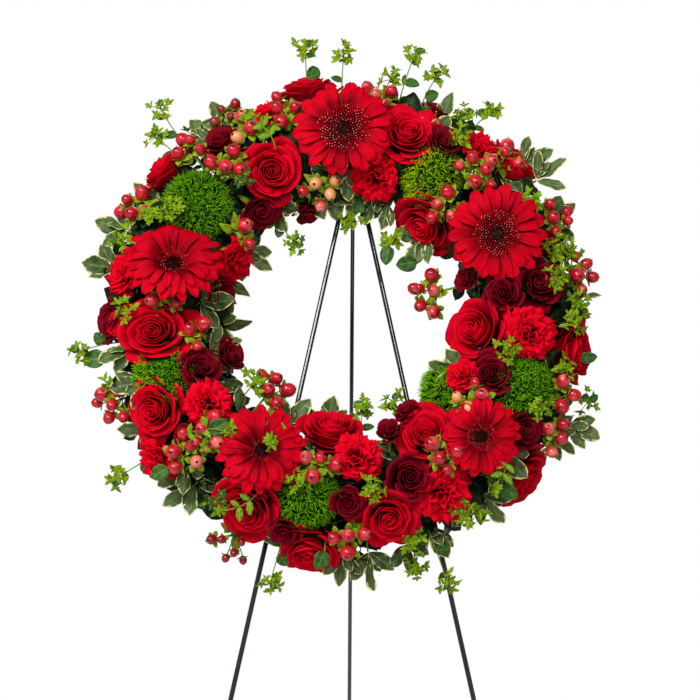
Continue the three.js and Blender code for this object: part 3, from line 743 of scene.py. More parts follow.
def addRose(piece, face, axis, size, look, skin, dice, shadeAndTone=0.6, stretch=(1.0, 1.0)):
    # the petals, the sepals under them and the cup that holds them
    grids = rosePetals(size, look, dice)
    spin = dice.uniform(0, 2 * math.pi)
    x, y = grids[..., 0], grids[..., 1]
    wide = (x * math.cos(spin) - y * math.sin(spin)) * stretch[0]
    tall = (x * math.sin(spin) + y * math.cos(spin)) * stretch[1]
    grids = np.stack([wide, tall, grids[..., 2]], axis=-1)
    turn = bloomFrame(axis, 0.0)
    tones = dice.uniform(0, 1, len(grids))
    piece.sheets(seated(grids, face, turn), skin, look["thickness"], tone=tones, layer=shadeAndTone)
    number = calyxLook["sepals"]
    around = golden * np.arange(number) * 1.05 + dice.uniform(0, 6)
    side = fanned(around, turn[0, 0], turn[0, 1])
    base = face - axis * calyxLook["down"] * size + side * calyxLook["out"] * size
    leaves = leafGrids(number, 5, 3, calyxLook["length"] * size, calyxLook["width"] * size, bend=0.5)
    frames = framesOf(side - 0.25 * axis, axis)
    piece.sheets(placed(leaves, base, frames), leafSkin["sepal"], 0.4 * mm)
    piece.tubes(seated(turnedAbout(calyxLook["cup"], 10, size), face, turn), leafSkin["sepal"])


def leafGrids(number, rows, columns, length, width, bend=0.0, fold=0.25, wave=0.0, blunt=0.55, full=0.8,
              dice=None):
    # leaves along +x with their faces up +z, in (number, rows, columns, 3): bend droops the tip, fold lifts
    # the sides, wave ruffles them, and blunt and full say where a leaf is widest and how round it is
    x = np.linspace(0, 1, rows)[None, :, None]
    y = np.linspace(-1, 1, columns)[None, None, :]
    length, width, bend, fold, wave = (perSheet(value, number) for value in (length, width, bend, fold, wave))
    phase = perSheet(0.0 if dice is None else dice.uniform(0, 6.3, number), number)
    half = width * (0.05 + 0.95 * np.sin(math.pi * np.minimum(x**blunt, 0.99999)) ** full)
    across = y * half + 0 * length
    along = length * (x - 0.12 * bend * x**2) + 0 * y
    height = fold * np.abs(across) * 0.8 - bend * length * x**2 * 0.5
    height = height + wave * width * np.sin(x * 9 + phase + 1.5 * np.sign(y)) * np.abs(y) ** 2
    return np.stack([along + 0 * across, across, height + 0 * across], axis=-1)


# carnations

carnationLook = {
    "petals": 33, "rows": 7, "columns": 12, "thickness": 0.35 * mm,
    "ruffle": 0.17,  # as a share of the radius
    "cup": [(0.03, -0.76), (0.11, -0.72), (0.13, -0.56), (0.15, -0.42), (0.10, -0.38)],  # of the size
}


def carnationPetals(size, look, dice):
    # ruffled petals with toothed edges, from upright in the middle to flat outside
    number = look["petals"]
    radius = size / 2
    outer = np.linspace(0, 1, number)[:, None, None]  # as in a rose
    up = np.linspace(0, 1, look["rows"])[None, :, None]
    across = np.linspace(-1, 1, look["columns"])[None, None, :]
    throw = throwOf(number, dice)
    teeth = dice.uniform(-0.06, 0.02, (number, 1, look["columns"]))
    up = up * (1 - 0.16 * np.abs(across) ** 2.2 + teeth * ramp(up, 0.75, 1.0))
    slope = math.radians(6) + math.radians(74) * outer**0.7 + throw(0.2)  # from the axis
    endOut = 0.90 * radius * np.sin(slope) * (1 + throw(0.08))
    endHeight = -0.60 * radius * (1 - np.cos(slope)) + radius * throw(0.07) - 0.03 * radius
    controls = [
        (0.04 * radius, -1.0 * radius),
        (0.10 * radius + 0.15 * endOut, -0.38 * radius),
        (endOut, endHeight),
    ]
    out, height = curveOf(controls, up)
    half = radius * (0.03 + 0.60 * np.clip(up, 0, 1) ** 1.4) * (0.75 + 0.35 * outer)
    # waves across each petal, growing towards its edge
    phase = throw(3.1)
    waves = np.sin(across * (2.1 + throw(0.7)) * math.pi + phase)
    waves = waves + 0.35 * np.sin(across * (4.6 + throw(1.0)) * math.pi + 2 * phase)
    ruffle = look["ruffle"] * radius * waves * np.clip(up, 0, 1) ** 2.0
    out = out + ruffle * np.cos(slope) + throw(0.05) * radius * up
    height = height + ruffle * np.sin(slope) * 0.9
    spin = golden * np.arange(number)[:, None, None] + throw(0.5)
    side = across * half * (1 - 0.12 * waves * up**2) + throw(0.12) * radius * up**2
    x = out * np.cos(spin) - side * np.sin(spin)
    y = out * np.sin(spin) + side * np.cos(spin)
    return np.stack([x, y, height + 0 * x], axis=-1)


def addCarnation(piece, face, axis, size, dice):
    grids = carnationPetals(size, carnationLook, dice)
    turn = bloomFrame(axis, dice.uniform(0, 2 * math.pi))
    tones = dice.uniform(0, 1, len(grids))
    thickness = carnationLook["thickness"]
    piece.sheets(seated(grids, face, turn), petalSkin["carnation"], thickness, tone=tones, layer=0.6)
    piece.tubes(seated(turnedAbout(carnationLook["cup"], 10, size), face, turn), leafSkin["sepal"])


# gerberas

gerberaLook = {"rows": 8, "columns": 5, "thickness": 0.5 * mm, "tongues": 34}
gerberaKinds = {  # rays is for one deck; wide is a ray's half width, crown the florets, disc the dark middle
    "gerbera_1": {"decks": 2, "rays": 17, "wide": 0.118, "crown": 0.44, "disc": 0.14, "cup": 0.02},
    "gerbera_2": {"decks": 3, "rays": 19, "wide": 0.105, "crown": 0.30, "disc": 0.14, "cup": 0.10},
    "gerbera_3": {"decks": 2, "rays": 17, "wide": 0.122, "crown": 0.38, "disc": 0.13, "cup": 0.03},
    "gerbera_4": {"decks": 3, "rays": 18, "wide": 0.115, "crown": 0.25, "disc": 0.12, "cup": 0.08},
    "gerbera_5": {"decks": 2, "rays": 18, "wide": 0.118, "crown": 0.28, "disc": 0.13, "cup": 0.06},
}  # wide, crown, disc and cup are shares of the radius


def gerberaRays(size, kind, look, dice):
    # decks of long rays round +Z, their tips notched
    rays, crown = kind["rays"], kind["crown"]
    radius = size / 2
    number = rays * kind["decks"]
    ordinal = np.arange(number)
    deck = (ordinal // rays)[:, None, None]  # 0 is the lowest and longest
    throw = throwOf(number, dice)
    x = np.linspace(0, 1, look["rows"])[None, :, None] ** 0.85  # along a ray
    y = np.linspace(-1, 1, look["columns"])[None, None, :]  # across it
    length = radius * (1 - crown * 0.7) * (1 - 0.13 * deck) * (1 + throw(0.06))
    half = radius * kind["wide"] * (1 + throw(0.14)) * (1 - 0.10 * deck)
    tip = np.sqrt(np.clip(1 - (np.clip(x - 0.80, 0, 1) / 0.207) ** 2, 0, 1))
    outline = (0.40 + 0.60 * ramp(x, 0.0, 0.62)) * tip
    notch = 1 - 0.035 * (1 - np.abs(y)) * ramp(x, 0.85, 1.0)
    along = radius * crown * 0.7 + length * x * notch
    side = y * half * outline
    # a ray rises, its tip droops, its sides curve up, and it has two furrows and a twist
    height = radius * (-0.14 + 0.055 * deck) + radius * (0.12 + kind["cup"]) * ramp(x, 0.0, 0.6)
    height = height - radius * 0.12 * x**2.5
    height = height + radius * throw(0.045) * x + 0.32 * np.abs(side)
    height = height + half * 0.10 * np.cos(y * 2 * math.pi) * outline
    height = height + side * throw(0.35)
    spin = 2 * math.pi * (ordinal[:, None, None] + 0.5 * deck) / rays + throw(0.07)
    swing = side + radius * throw(0.05) * x**2
    wide = along * np.cos(spin) - swing * np.sin(spin)
    tall = along * np.sin(spin) + swing * np.cos(spin)
    return np.stack([wide, tall, height + 0 * wide], axis=-1)


def floretRings(places, heights, leans, length, radius, sides=4):
    # small trumpets standing on places (n, 2), leaning outwards
    outward = unit(np.concatenate([places, np.zeros((len(places), 1))], axis=1))
    base = np.concatenate([places, heights[:, None]], axis=1)
    up = np.array([0.0, 0.0, 1.0])
    tip = unit(up + outward * leans[:, None])
    length = np.broadcast_to(length, len(places))[:, None]
    path = np.stack([base + tip * length * share for share in (0.0, 0.5, 0.85, 1.0)], axis=1)
    shares = np.array([0.6, 0.75, 1.0, 0.55])
    return ringsRound(path, np.broadcast_to(radius, len(places))[:, None] * shares, sides)


def addGerbera(piece, face, axis, size, kind, dice):
    # the rays, the dark and the red florets, short tongues between them, and a bowl underneath
    turn = bloomFrame(axis, dice.uniform(0, 2 * math.pi))
    radius = size / 2
    crown = kind["crown"]
    grids = gerberaRays(size, kind, gerberaLook, dice)
    tones = dice.uniform(0, 1, len(grids))
    thickness = gerberaLook["thickness"]
    piece.sheets(seated(grids, face, turn), petalSkin["gerbera"], thickness, tone=tones, layer=0.6)
    number = int(110 + 400 * crown)  # florets
    share = np.sqrt((np.arange(number) + 0.5) / number)
    out = share * crown * radius
    spin = golden * np.arange(number)
    places = np.stack([out * np.cos(spin), out * np.sin(spin)], axis=1)
    dark = share < kind["disc"] / crown
    heights = radius * (-0.11 + 0.05 * share)
    leans = 0.15 + 0.9 * share**2
    lengths = radius * (0.055 + 0.065 * share + dice.uniform(-0.014, 0.014, number))
    broad = radius * crown * (0.032 + 0.012 * share)
    for chosen, skin in ((dark, "discFloret"), (~dark, "innerFloret")):
        rings = floretRings(places[chosen], heights[chosen], leans[chosen], lengths[chosen], broad[chosen])
        piece.tubes(seated(rings, face, turn), spikeSkin[skin], tone=dice.uniform(0, 1, int(chosen.sum())))
    number = gerberaLook["tongues"]  # short petals that hang over the rays' feet
    spin = 2 * math.pi * np.arange(number) / number + dice.uniform(-0.08, 0.08, number)
    outward = np.stack([np.cos(spin), np.sin(spin), np.zeros(number)], axis=1)
    long = radius * 0.16 * dice.uniform(0.6, 1.3, number)
    tongues = leafGrids(number, 5, 3, long, radius * 0.026, bend=-0.35)
    starts = outward * crown * radius * 0.95 + np.array([0, 0, -0.06 * radius])
    tips = placed(tongues, starts, framesOf(outward + [0, 0, 0.6], np.array([0.0, 0.0, 1.0])))
    tones = dice.uniform(0, 0.4, number)
    piece.sheets(seated(tips, face, turn), petalSkin["gerbera"], 0.35 * mm, tone=tones, layer=0.1)
    bowl = [(0.02, -0.30), (0.20, -0.22), (crown + 0.05, -0.15), (crown, -0.10), (0.02, -0.09)]
    piece.tubes(seated(turnedAbout(bowl, 20, radius), face, turn), spikeSkin["discFloret"], tone=0.0)


# green dianthus

dianthusLook = {
    "tufts": 220, "blades": 7, "length": 12.5 * mm, "width": 0.72 * mm,
    "depth": 0.9,  # the ball's height as a share of its width
    "round": 1.36,  # how far down the ball tufts go: 1 is half way, 2 would be all of it
    "longer": (0.75, 1.15), "spread": (0.25, 1.1),
    "cup": [(0.05, -1.36), (0.30, -1.28), (0.52, -1.12), (0.5, -1.04)],  # of the radius
}


def addDianthus(piece, face, axis, size, skin, dice, others=()):
    # a ball of small tufts, each of a few pointed blades; none run through the other blooms
    look = dianthusLook
    turn = bloomFrame(axis, dice.uniform(0, 2 * math.pi))
    radius = size / 2
    depth = look["depth"]
    tufts = look["tufts"]
    level = 1 - (np.arange(tufts) + 0.5) / tufts * look["round"]
    spin = golden * np.arange(tufts)
    flat = np.sqrt(1 - level**2)
    ways = np.stack([flat * np.cos(spin), flat * np.sin(spin), level], axis=1)
    ways = np.repeat(unit(ways + dice.normal(0, 0.03, (tufts, 3))), look["blades"], axis=0)
    number = len(ways)
    stretch = np.array([1.0, 1.0, depth])
    middle = np.array([0.0, 0.0, -depth * radius - 2 * mm])
    long = look["length"] * dice.uniform(*look["longer"], number)[:, None]
    spread = unit(np.cross(ways, dice.normal(0, 1, ways.shape)))
    spread = spread * dice.uniform(*look["spread"], number)[:, None]
    # each blade starts near the core, straight out, and bends to its own side
    foot = middle + ways * stretch * (radius - look["length"] * 0.86)
    heading = unit(ways * stretch + spread)
    tip = foot + heading * long
    bend = foot + unit(ways * stretch + spread * 0.3) * long * 0.55
    paths = bezier(np.stack([foot, bend, tip]), 3)
    widths = look["width"] * np.array([0.9, 0.95, 0.14])
    blades = seated(ringsRound(paths, widths, 3), face, turn)
    buried = np.zeros(number, dtype=bool)
    for head in others:
        for step in (1, 2):
            buried |= insideHead(blades[:, step].mean(axis=1), head, 0.78, 0.4)
    piece.tubes(blades[~buried], spikeSkin[skin], tone=dice.uniform(0, 1, number)[~buried])
    # a core under the blades, near black as painted shade between them
    steps = np.linspace(0.72, 0.04, 9) * math.pi
    share = 1 - look["length"] / radius
    core = [(share * radius * math.sin(a), radius * (share * depth * math.cos(a) - depth)) for a in steps]
    piece.tubes(seated(turnedAbout(core, 20), face, turn), spikeSkin["dianthusCoreShade"], tone=0.0)
    # the cup under the ball, in the near-black leaf skin painted as shade
    piece.tubes(seated(turnedAbout(look["cup"], 14, radius), face, turn), leafSkin["shadowLeaf"])


# berries

berryLook = {
    "radius": 7.3 * mm, "length": 1.16, "rows": 10, "sides": 14, "ripe": 0.32,  # 0 is ripe, 1 still pale
    "sepal": 11.5 * mm, "sepals": 5, "leaf": (15, 21), "leaves": 3,  # leaf lengths in mm
    "lift": 9 * mm,  # above the blooms
}
berryBranches = {  # angle, distance from the ring's centre in mm, and how many berries
    "hypericum_left": [
        (106, 238, 4), (119, 262, 5), (128, 209, 4), (133, 250, 4), (152, 262, 5), (177, 194, 4),
        (191, 163, 3), (201, 272, 6), (224, 196, 4), (223, 229, 6), (227, 110, 5), (100, 138, 5),
        (143, 138, 2), (118, 232, 3),
    ],
    "hypericum_right": [
        (244, 280, 7), (262, 176, 4), (272, 250, 4), (304, 191, 4), (323, 171, 6), (329, 263, 4),
        (340, 255, 3), (11, 268, 5), (16, 94, 6), (25, 258, 5), (44, 254, 3), (46, 160, 5),
        (47, 214, 6), (81, 252, 4),
    ],
}
paleClusters = {100: 0.88, 118: 0.7, 81: 0.6, 323: 0.55, 304: 0.6}  # by angle, where berries are unripe
brownClusters = (119, 244)  # by angle, smaller and past their best


def addBerry(piece, middle, axis, radius, tone, dark, dice):
    # a berry with the nib at its tip and the cup of sepals that holds it
    look = berryLook
    a = np.linspace(0.03, 0.97, look["rows"]) * math.pi
    profile = np.stack([np.sin(a) ** 0.92, -np.cos(a) * look["length"]], axis=1) * radius
    turn = bloomFrame(axis, dice.uniform(0, 6.3))
    piece.tubes(seated(turnedAbout(profile, look["sides"]), middle, turn), berrySkin, tone=tone, layer=dark)
    top = middle + axis * radius * look["length"] * 0.97
    nib = ringsRound(np.stack([top, top + axis * radius * 0.2])[None], radius * np.array([0.10, 0.02]), 5)
    piece.tubes(nib, spikeSkin["discFloret"], tone=0.0)
    number = look["sepals"]
    around = 2 * math.pi * np.arange(number) / number + dice.uniform(-0.15, 0.15, number)
    side = fanned(around, turn[0, 0], turn[0, 1])
    base = middle - axis * radius * look["length"] * 0.86 + side * radius * 0.22
    size = look["sepal"] * radius / look["radius"]
    long = size * dice.uniform(0.75, 1.1, number)
    leaves = leafGrids(number, 5, 3, long, size * 0.34, bend=-0.2, fold=0.4, blunt=1.0, full=0.6)
    frames = framesOf(side + axis * dice.uniform(-0.15, 0.35, (number, 1)), axis)
    piece.sheets(placed(leaves, base, frames), leafSkin["sepal"], 0.3 * mm, tone=dice.uniform(0, 1, number))


def addBerries(piece, angle, at, number, dice):
    # a cluster: berries spread round the end of a stem that forks below them, with leaves at the fork
    place = standAt(angle, at)
    axis = place["axis"]
    facing = unit(axis + 0.5 * ring["front"])
    face = place["core"] + axis * (place["reach"] + berryLook["lift"])
    side, other = bloomFrame(facing, dice.uniform(0, 6.3))[0, :2]
    fork = face - axis * 24 * mm
    addStem(piece, "cluster", place["core"] + axis * 20 * mm, fork)
    ripe = paleClusters.get(angle, berryLook["ripe"])
    brown = angle in brownClusters
    for i in range(number):
        away = berryLook["radius"] * math.sqrt(i * 1.35 + 1.1)
        way = side * math.cos(golden * i) + other * math.sin(golden * i)
        radius = berryLook["radius"] * dice.uniform(0.74, 1.18)
        if brown:
            radius *= 0.75
        pointing = unit(facing + way * (0.35 + 0.12 * i) + dice.normal(0, 0.28, 3))
        middle = face + way * away * 1.12 - facing * (radius + 1.6 * mm * i)
        tone = np.clip(dice.normal(ripe, 0.22), 0, 1)
        addBerry(piece, middle, pointing, radius, tone, float(brown), dice)
        addStem(piece, "berry", fork, middle - pointing * radius)
    leaves = berryLook["leaves"]
    around = dice.uniform(0, 6.3, leaves)
    way = fanned(around, side, other)
    long = dice.uniform(*berryLook["leaf"], leaves) * mm
    grids = leafGrids(leaves, 8, 5, long, 5.2 * mm, bend=0.3, wave=0.15, dice=dice)
    grids = placed(grids, fork + way * 4 * mm, framesOf(way + 0.35 * facing, facing))
    piece.sheets(grids, leafSkin["sepal"], 0.35 * mm, tone=dice.uniform(0, 1, leaves))


# bupleurum

bupleurumLook = {
    "stars": 8, "bract": 7.6 * mm, "spread": 13.0 * mm, "flowers": 5, "flower": 0.95 * mm, "steps": 9,
    "outer": 80 * mm,  # sprigs that end further than this from the foam's middle circle carry leaves
    "leaves": ((0.42, 22), (0.72, 18), (0.88, 13), (1.0, 12)),  # how far up the stalk, and length in mm
}
bupleurumTips = {  # angle and distance from the ring's centre in mm
    "bupleurum_outer": [
        (131, 316), (136, 298), (98, 313), (90, 304), (75, 314), (79, 284), (69, 300), (55, 290),
        (60, 275), (39, 280), (17, 264), (3, 263), (357, 255), (341, 288), (291, 316), (286, 290),
        (255, 306), (216, 307), (188, 296),
    ],
    "bupleurum_inner": [
        (123, 94), (86, 103), (59, 94), (300, 106), (282, 98), (218, 118),
    ],
    "": [  # among the blooms
        (113, 229), (234, 160), (128, 181), (237, 254), (180, 242), (256, 190), (246, 158), (57, 239),
        (345, 175), (333, 243), (303, 268), (287, 266), (149, 222), (17, 245), (345, 252), (311, 250),
        (300, 258), (129, 270), (226, 208), (161, 262), (31, 243), (9, 236), (279, 205), (153, 238),
        (198, 272), (314, 234),
    ],
}
deepClusters = (128, 129, 237, 311, 314)  # angles where the bracts are deep green
roundLeaves = [  # angle, distance from the ring's centre and size in mm
    (190, 274, 27), (225, 187, 24), (55, 88, 22), (41, 96, 24), (28, 262, 22), (222, 262, 22),
    (312, 262, 22), (97, 278, 20), (350, 268, 20), (265, 268, 22),
]


def addBupleurum(piece, angle, at, dice):
    # a bowed stalk with a head of stars, and round leaves on it where it stands out past the rim
    look = bupleurumLook
    place = standAt(angle, at)
    front = ring["front"]
    tip = faceOf(place)
    outer = abs(at * mm - ring["radius"]) > look["outer"]
    towards = towardsRim(place, at)
    facing = unit(front + (0.35 if outer else 0.5) * place["axis"] + dice.normal(0, 0.15, 3))
    start = place["core"] + unit(place["axis"] + 0.8 * front * outer) * 30 * mm
    bow = (start + tip) / 2 + np.cross(facing, towards) * dice.uniform(-14, 14) * mm + front * 5 * mm
    stalk = bezier(np.stack([start, bow, tip - towards * 3 * mm])[:, None], look["steps"])
    piece.tubes(ringsRound(stalk, np.linspace(1.0, 0.6, look["steps"]) * mm, 5), leafSkin["stem"])
    skin = leafSkin["roundLeaf"] if angle in deepClusters else leafSkin["bract"]
    side, other = bloomFrame(facing, dice.uniform(0, 6.3))[0, :2]
    node = stalk[0, -1] - facing * 6 * mm
    for i in range(look["stars"] - int(outer)):
        way = math.cos(golden * i) * side + math.sin(golden * i) * other
        away = look["spread"] * math.sqrt(i / look["stars"]) * dice.uniform(0.85, 1.15)
        middle = stalk[0, -1] + way * away - towards * 2 * mm + facing * dice.uniform(-2.5, 2.5) * mm
        axis = unit(facing + 0.6 * way * away / look["spread"] + dice.normal(0, 0.33, 3))
        addStem(piece, "star", node, middle)
        addStar(piece, middle, axis, skin, dice)
    for share, size in look["leaves"] if outer else ():
        base = stalk[0, int(share * (look["steps"] - 1))]
        way = unit(np.cross(facing, towards)) * dice.choice((-1, 1)) + towards * dice.uniform(0.2, 0.9)
        addRoundLeaf(piece, base, way, facing, size * dice.uniform(0.7, 1.0) * mm, dice)


def addRoundLeaf(piece, base, way, facing, size, dice):
    grids = leafGrids(1, 9, 7, size, size * 0.4, bend=dice.uniform(0.0, 0.5), fold=0.25, blunt=0.8, full=0.6)
    frames = framesOf(way[None], facing[None] + dice.normal(0, 0.25, (1, 3)))
    piece.sheets(placed(grids, base[None], frames), leafSkin["roundLeaf"], 0.35 * mm, tone=dice.uniform(0, 1))


tendrilLook = {"steps": 13, "pairs": (8, 10), "leaf": (11, 17), "stars": 3}  # leaf lengths in mm
tendrils = [  # root and tip: angle, distance from the ring's centre and height above the blooms in mm
    ((233, 118, 0), (241, 168, 13)), ((219, 236, 2), (227, 186, 8)), ((113, 190, 0), (116, 232, 6)),
    ((318, 232, 2), (310, 246, 5)), ((246, 216, 0), (240, 250, 4)),
]


def addTendril(piece, root, tip, dice):
    # a thin stalk lying over the blooms, with pairs of narrow leaves and stars at its tip
    look = tendrilLook
    ends = []
    for angle, at, lift in (root, tip):
        place = standAt(angle, at)
        ends.append(place["core"] + place["axis"] * (place["reach"] + lift * mm))
    foot = standAt(*root[:2])["core"] + ring["front"] * 20 * mm
    run = ends[1] - ends[0]
    side = unit(np.cross(ring["front"], run))
    bow = ends[0] + 0.4 * run + side * dice.choice((-1, 1)) * 14 * mm + ring["front"] * 12 * mm
    stalk = bezier(np.stack([foot, ends[0], ends[0], bow, ends[1]])[:, None], look["steps"])
    piece.tubes(ringsRound(stalk, np.linspace(1.0, 0.55, look["steps"]) * mm, 5), leafSkin["stem"])
    for step in look["pairs"]:
        for hand in (-1, 1):
            way = unit(unit(run) * 0.6 + hand * side + 0.3 * ring["front"])
            long = dice.uniform(*look["leaf"]) * mm
            bend = dice.uniform(0.1, 0.6)
            grids = leafGrids(1, 7, 3, long, long * 0.22, bend=bend, fold=0.5, blunt=0.9, full=0.7)
            grids = placed(grids, stalk[:, step], framesOf(way[None], unit(ring["front"] - 0.5 * way)[None]))
            piece.sheets(grids, leafSkin["bract"], 0.3 * mm, tone=dice.uniform(0, 0.5))
    for i in range(look["stars"]):
        middle = ends[1] + unit(run) * (2 + 3 * i) * mm + side * dice.uniform(-5, 5) * mm
        addStem(piece, "star", stalk[0, -2], middle)
        addStar(piece, middle, unit(ring["front"] + dice.normal(0, 0.3, 3)), leafSkin["bract"], dice)


def addLooseLeaves(piece, dice):
    # single round leaves among the blooms
    for angle, at, size in roundLeaves:
        place = standAt(angle, at)
        towards = towardsRim(place, at)
        way = unit(towards + np.cross(ring["front"], towards) * dice.uniform(-0.7, 0.7))
        base = place["core"] + place["axis"] * (place["reach"] + 4 * mm) - way * size * mm / 2
        addStem(piece, "leaf", place["core"] + place["axis"] * 20 * mm, base)
        addRoundLeaf(piece, base, way, unit(ring["front"] + 0.3 * place["axis"]), size * mm, dice)


def addStar(piece, middle, axis, skin, dice):
    # a whorl of bracts with yellow flowers in the middle
    number = int(dice.integers(4, 7))
    turn = bloomFrame(axis, dice.uniform(0, 6.3))[0]
    around = 2 * math.pi * np.arange(number) / number + dice.uniform(-0.3, 0.3, number)
    way = fanned(around, turn[0], turn[1])
    size = bupleurumLook["bract"] * dice.uniform(0.6, 1.25, number)
    bend = dice.uniform(-0.5, 0.4, number)
    grids = leafGrids(number, 5, 3, size, size * 0.27, bend=bend, fold=0.6, blunt=0.8)
    frames = framesOf(way + dice.uniform(0.1, 0.9, (number, 1)) * axis, axis)
    base = middle + way * 0.4 * mm
    piece.sheets(placed(grids, base, frames), skin, 0.25 * mm, tone=dice.uniform(0, 1, number))
    number = bupleurumLook["flowers"]
    around = golden * np.arange(number)
    away = 2.2 * mm * np.sqrt(np.arange(number) / number)
    flat = fanned(around, turn[0], turn[1])
    foot = middle + flat * away[:, None] * 0.4
    head = middle + flat * away[:, None] + axis * dice.uniform(1.6, 2.8, number)[:, None] * mm
    paths = np.stack([foot, foot * 0.35 + head * 0.65, head], axis=1)
    widths = bupleurumLook["flower"] * np.array([0.25, 1.0, 0.5])
    piece.tubes(ringsRound(paths, widths, 3), spikeSkin["yellowFlower"], tone=dice.uniform(0, 1, number))


# pittosporum

pittosporumLook = {
    "twig": 33, "length": (33, 41), "wide": (0.19, 0.29),  # mm, mm, and width as a share of the length
    "shares": (1.0, 0.82, 0.86, 0.6), "swing": (0.0, 0.75, -0.8, 0.25),  # each leaf's length, and turn
    "lift": (0.0, 1.5, -1.5, 3.0),  # how far the leaves' feet stand above each other in mm
}
pittosporumTips = {  # angle and distance from the ring's centre in mm
    "pittosporum_outer": [
        (158, 291), (168, 289), (127, 281), (36, 298), (41, 296), (334, 306), (330, 292), (5, 281),
        (229, 280), (225, 274), (270, 294), (276, 292), (285, 291), (292, 282), (308, 280), (64, 276),
        (147, 272), (189, 266), (211, 272), (121, 283), (64, 254), (25, 286), (200, 262), (317, 262),
    ],
    "pittosporum_inner": [
        (146, 100), (163, 112), (184, 108), (196, 118), (244, 102), (260, 94), (333, 114), (45, 98),
        (69, 106), (122, 118), (104, 117), (176, 124), (84, 112), (95, 116), (76, 114), (89, 130),
    ],
}


def addPittosporum(piece, angle, at, dice):
    # a few leaves fanned round the end of a twig
    look = pittosporumLook
    place = standAt(angle, at)
    towards = towardsRim(place, at)
    tangent = np.cross(ring["front"], towards)
    tip = faceOf(place)
    fork = tip - towards * look["twig"] * mm - ring["front"] * 2 * mm
    addStem(piece, "twig", place["core"] + place["axis"] * 24 * mm, fork)
    number = len(look["shares"])
    swing = np.array(look["swing"]) + dice.normal(0, 0.14, number)
    way = fanned(swing, towards, tangent)
    way = way + ring["front"] * dice.uniform(-0.15, 0.3, (number, 1))
    long = np.array(look["shares"]) * dice.uniform(*look["length"]) * mm
    wide = long * dice.uniform(*look["wide"], number)
    grids = leafGrids(number, 10, 7, long, wide, bend=dice.uniform(-0.15, 0.3, number), fold=0.3,
                      wave=0.22, blunt=1.25, full=0.65, dice=dice)
    faces = ring["front"] + dice.normal(0, 0.35, (number, 3))
    starts = fork + way * 1.5 * mm + ring["front"] * np.array(look["lift"])[:, None] * mm
    piece.sheets(placed(grids, starts, framesOf(way, faces)), leafSkin["creamLeaf"], 0.4 * mm,
                 tone=dice.uniform(0, 1, number))


# leaves that cover the foam

coverLook = [  # lengths and how far their feet are from the foam's middle circle in mm, leans in degrees
    {"leaves": 260, "length": (24, 36), "leans": (-112, 112), "feet": (24, 36), "cream": 0.2},
    {"leaves": 350, "length": (28, 42), "leans": (42, 94), "feet": (36, 66), "cream": 0.3},
    {"leaves": 160, "length": (22, 30), "leans": (-92, -50), "feet": (34, 54), "cream": 0.4},
    {"leaves": 220, "length": (26, 38), "leans": (-50, 50), "feet": (36, 60), "cream": 0.2},
]


heads = {}  # face, axis and radius of each bloom, so that cover leaves and blades keep out of it


def insideHead(points, head, share=0.9, depth=0.5):
    # which points are inside a bloom, taken as a disc of that share of its radius and that depth
    face, axis, radius = head
    along = (points - face) @ axis
    out = np.linalg.norm(points - face - along[:, None] * axis, axis=1)
    return (out < share * radius) & (along > -depth * radius)


def addCover(piece, look, dice):
    # leaves all over the foam, lying any way round, apart from those that would be inside a bloom; all but
    # the cream ones are painted near black, as the shade in the gaps
    number = look["leaves"]
    angles = np.degrees(golden * np.arange(number)) % 360
    leans = np.radians(dice.uniform(*look["leans"], number))
    outward = fanned(np.radians(angles), ring["right"], ring["up"])
    axis = np.cos(leans)[:, None] * ring["front"] + np.sin(leans)[:, None] * outward
    across = -np.sin(leans)[:, None] * ring["front"] + np.cos(leans)[:, None] * outward
    tangent = np.cross(outward, ring["front"])
    swirl = dice.uniform(0, 6.3, number)[:, None]
    way = np.cos(swirl) * across + np.sin(swirl) * tangent
    foot = ring["middle"] + ring["radius"] * outward + axis * dice.uniform(*look["feet"], (number, 1)) * mm
    long = dice.uniform(*look["length"], number) * mm
    grids = leafGrids(number, 7, 3, long, long * 0.26, bend=dice.uniform(-0.2, 0.5, number), wave=0.2,
                      blunt=1.0, full=0.7, dice=dice)
    facing = axis + 0.7 * ring["front"] + dice.normal(0, 0.3, (number, 3))
    frames = framesOf(way + axis * dice.uniform(0.1, 0.8, (number, 1)), facing)
    core = ring["middle"] + ring["radius"] * outward + axis * 18 * mm
    leaves = placed(grids, foot, frames)
    clear = np.ones(number, dtype=bool)
    for row in range(1, leaves.shape[1]):
        for head in heads.values():
            clear &= ~insideHead(leaves[:, row].mean(axis=1), head)
    stalks = np.stack([core, foot], axis=1)[clear]
    piece.tubes(ringsRound(stalks, 0.7 * mm, 3), leafSkin["shadowLeaf"], tone=0.6)
    cream = dice.uniform(0, 1, number) < look["cream"]
    for these, skin in ((~cream & clear, "shadowLeaf"), (cream & clear, "creamLeaf")):
        piece.sheets(leaves[these], leafSkin[skin], 0.35 * mm, tone=dice.uniform(0, 1, int(these.sum())))


collarLook = [  # leaves, which side of the foam, and their lengths in mm
    {"leaves": 112, "side": 1, "length": (36, 46)},
    {"leaves": 46, "side": -1, "length": (26, 34)},
    {"leaves": 50, "side": 1, "length": (28, 36)},
]


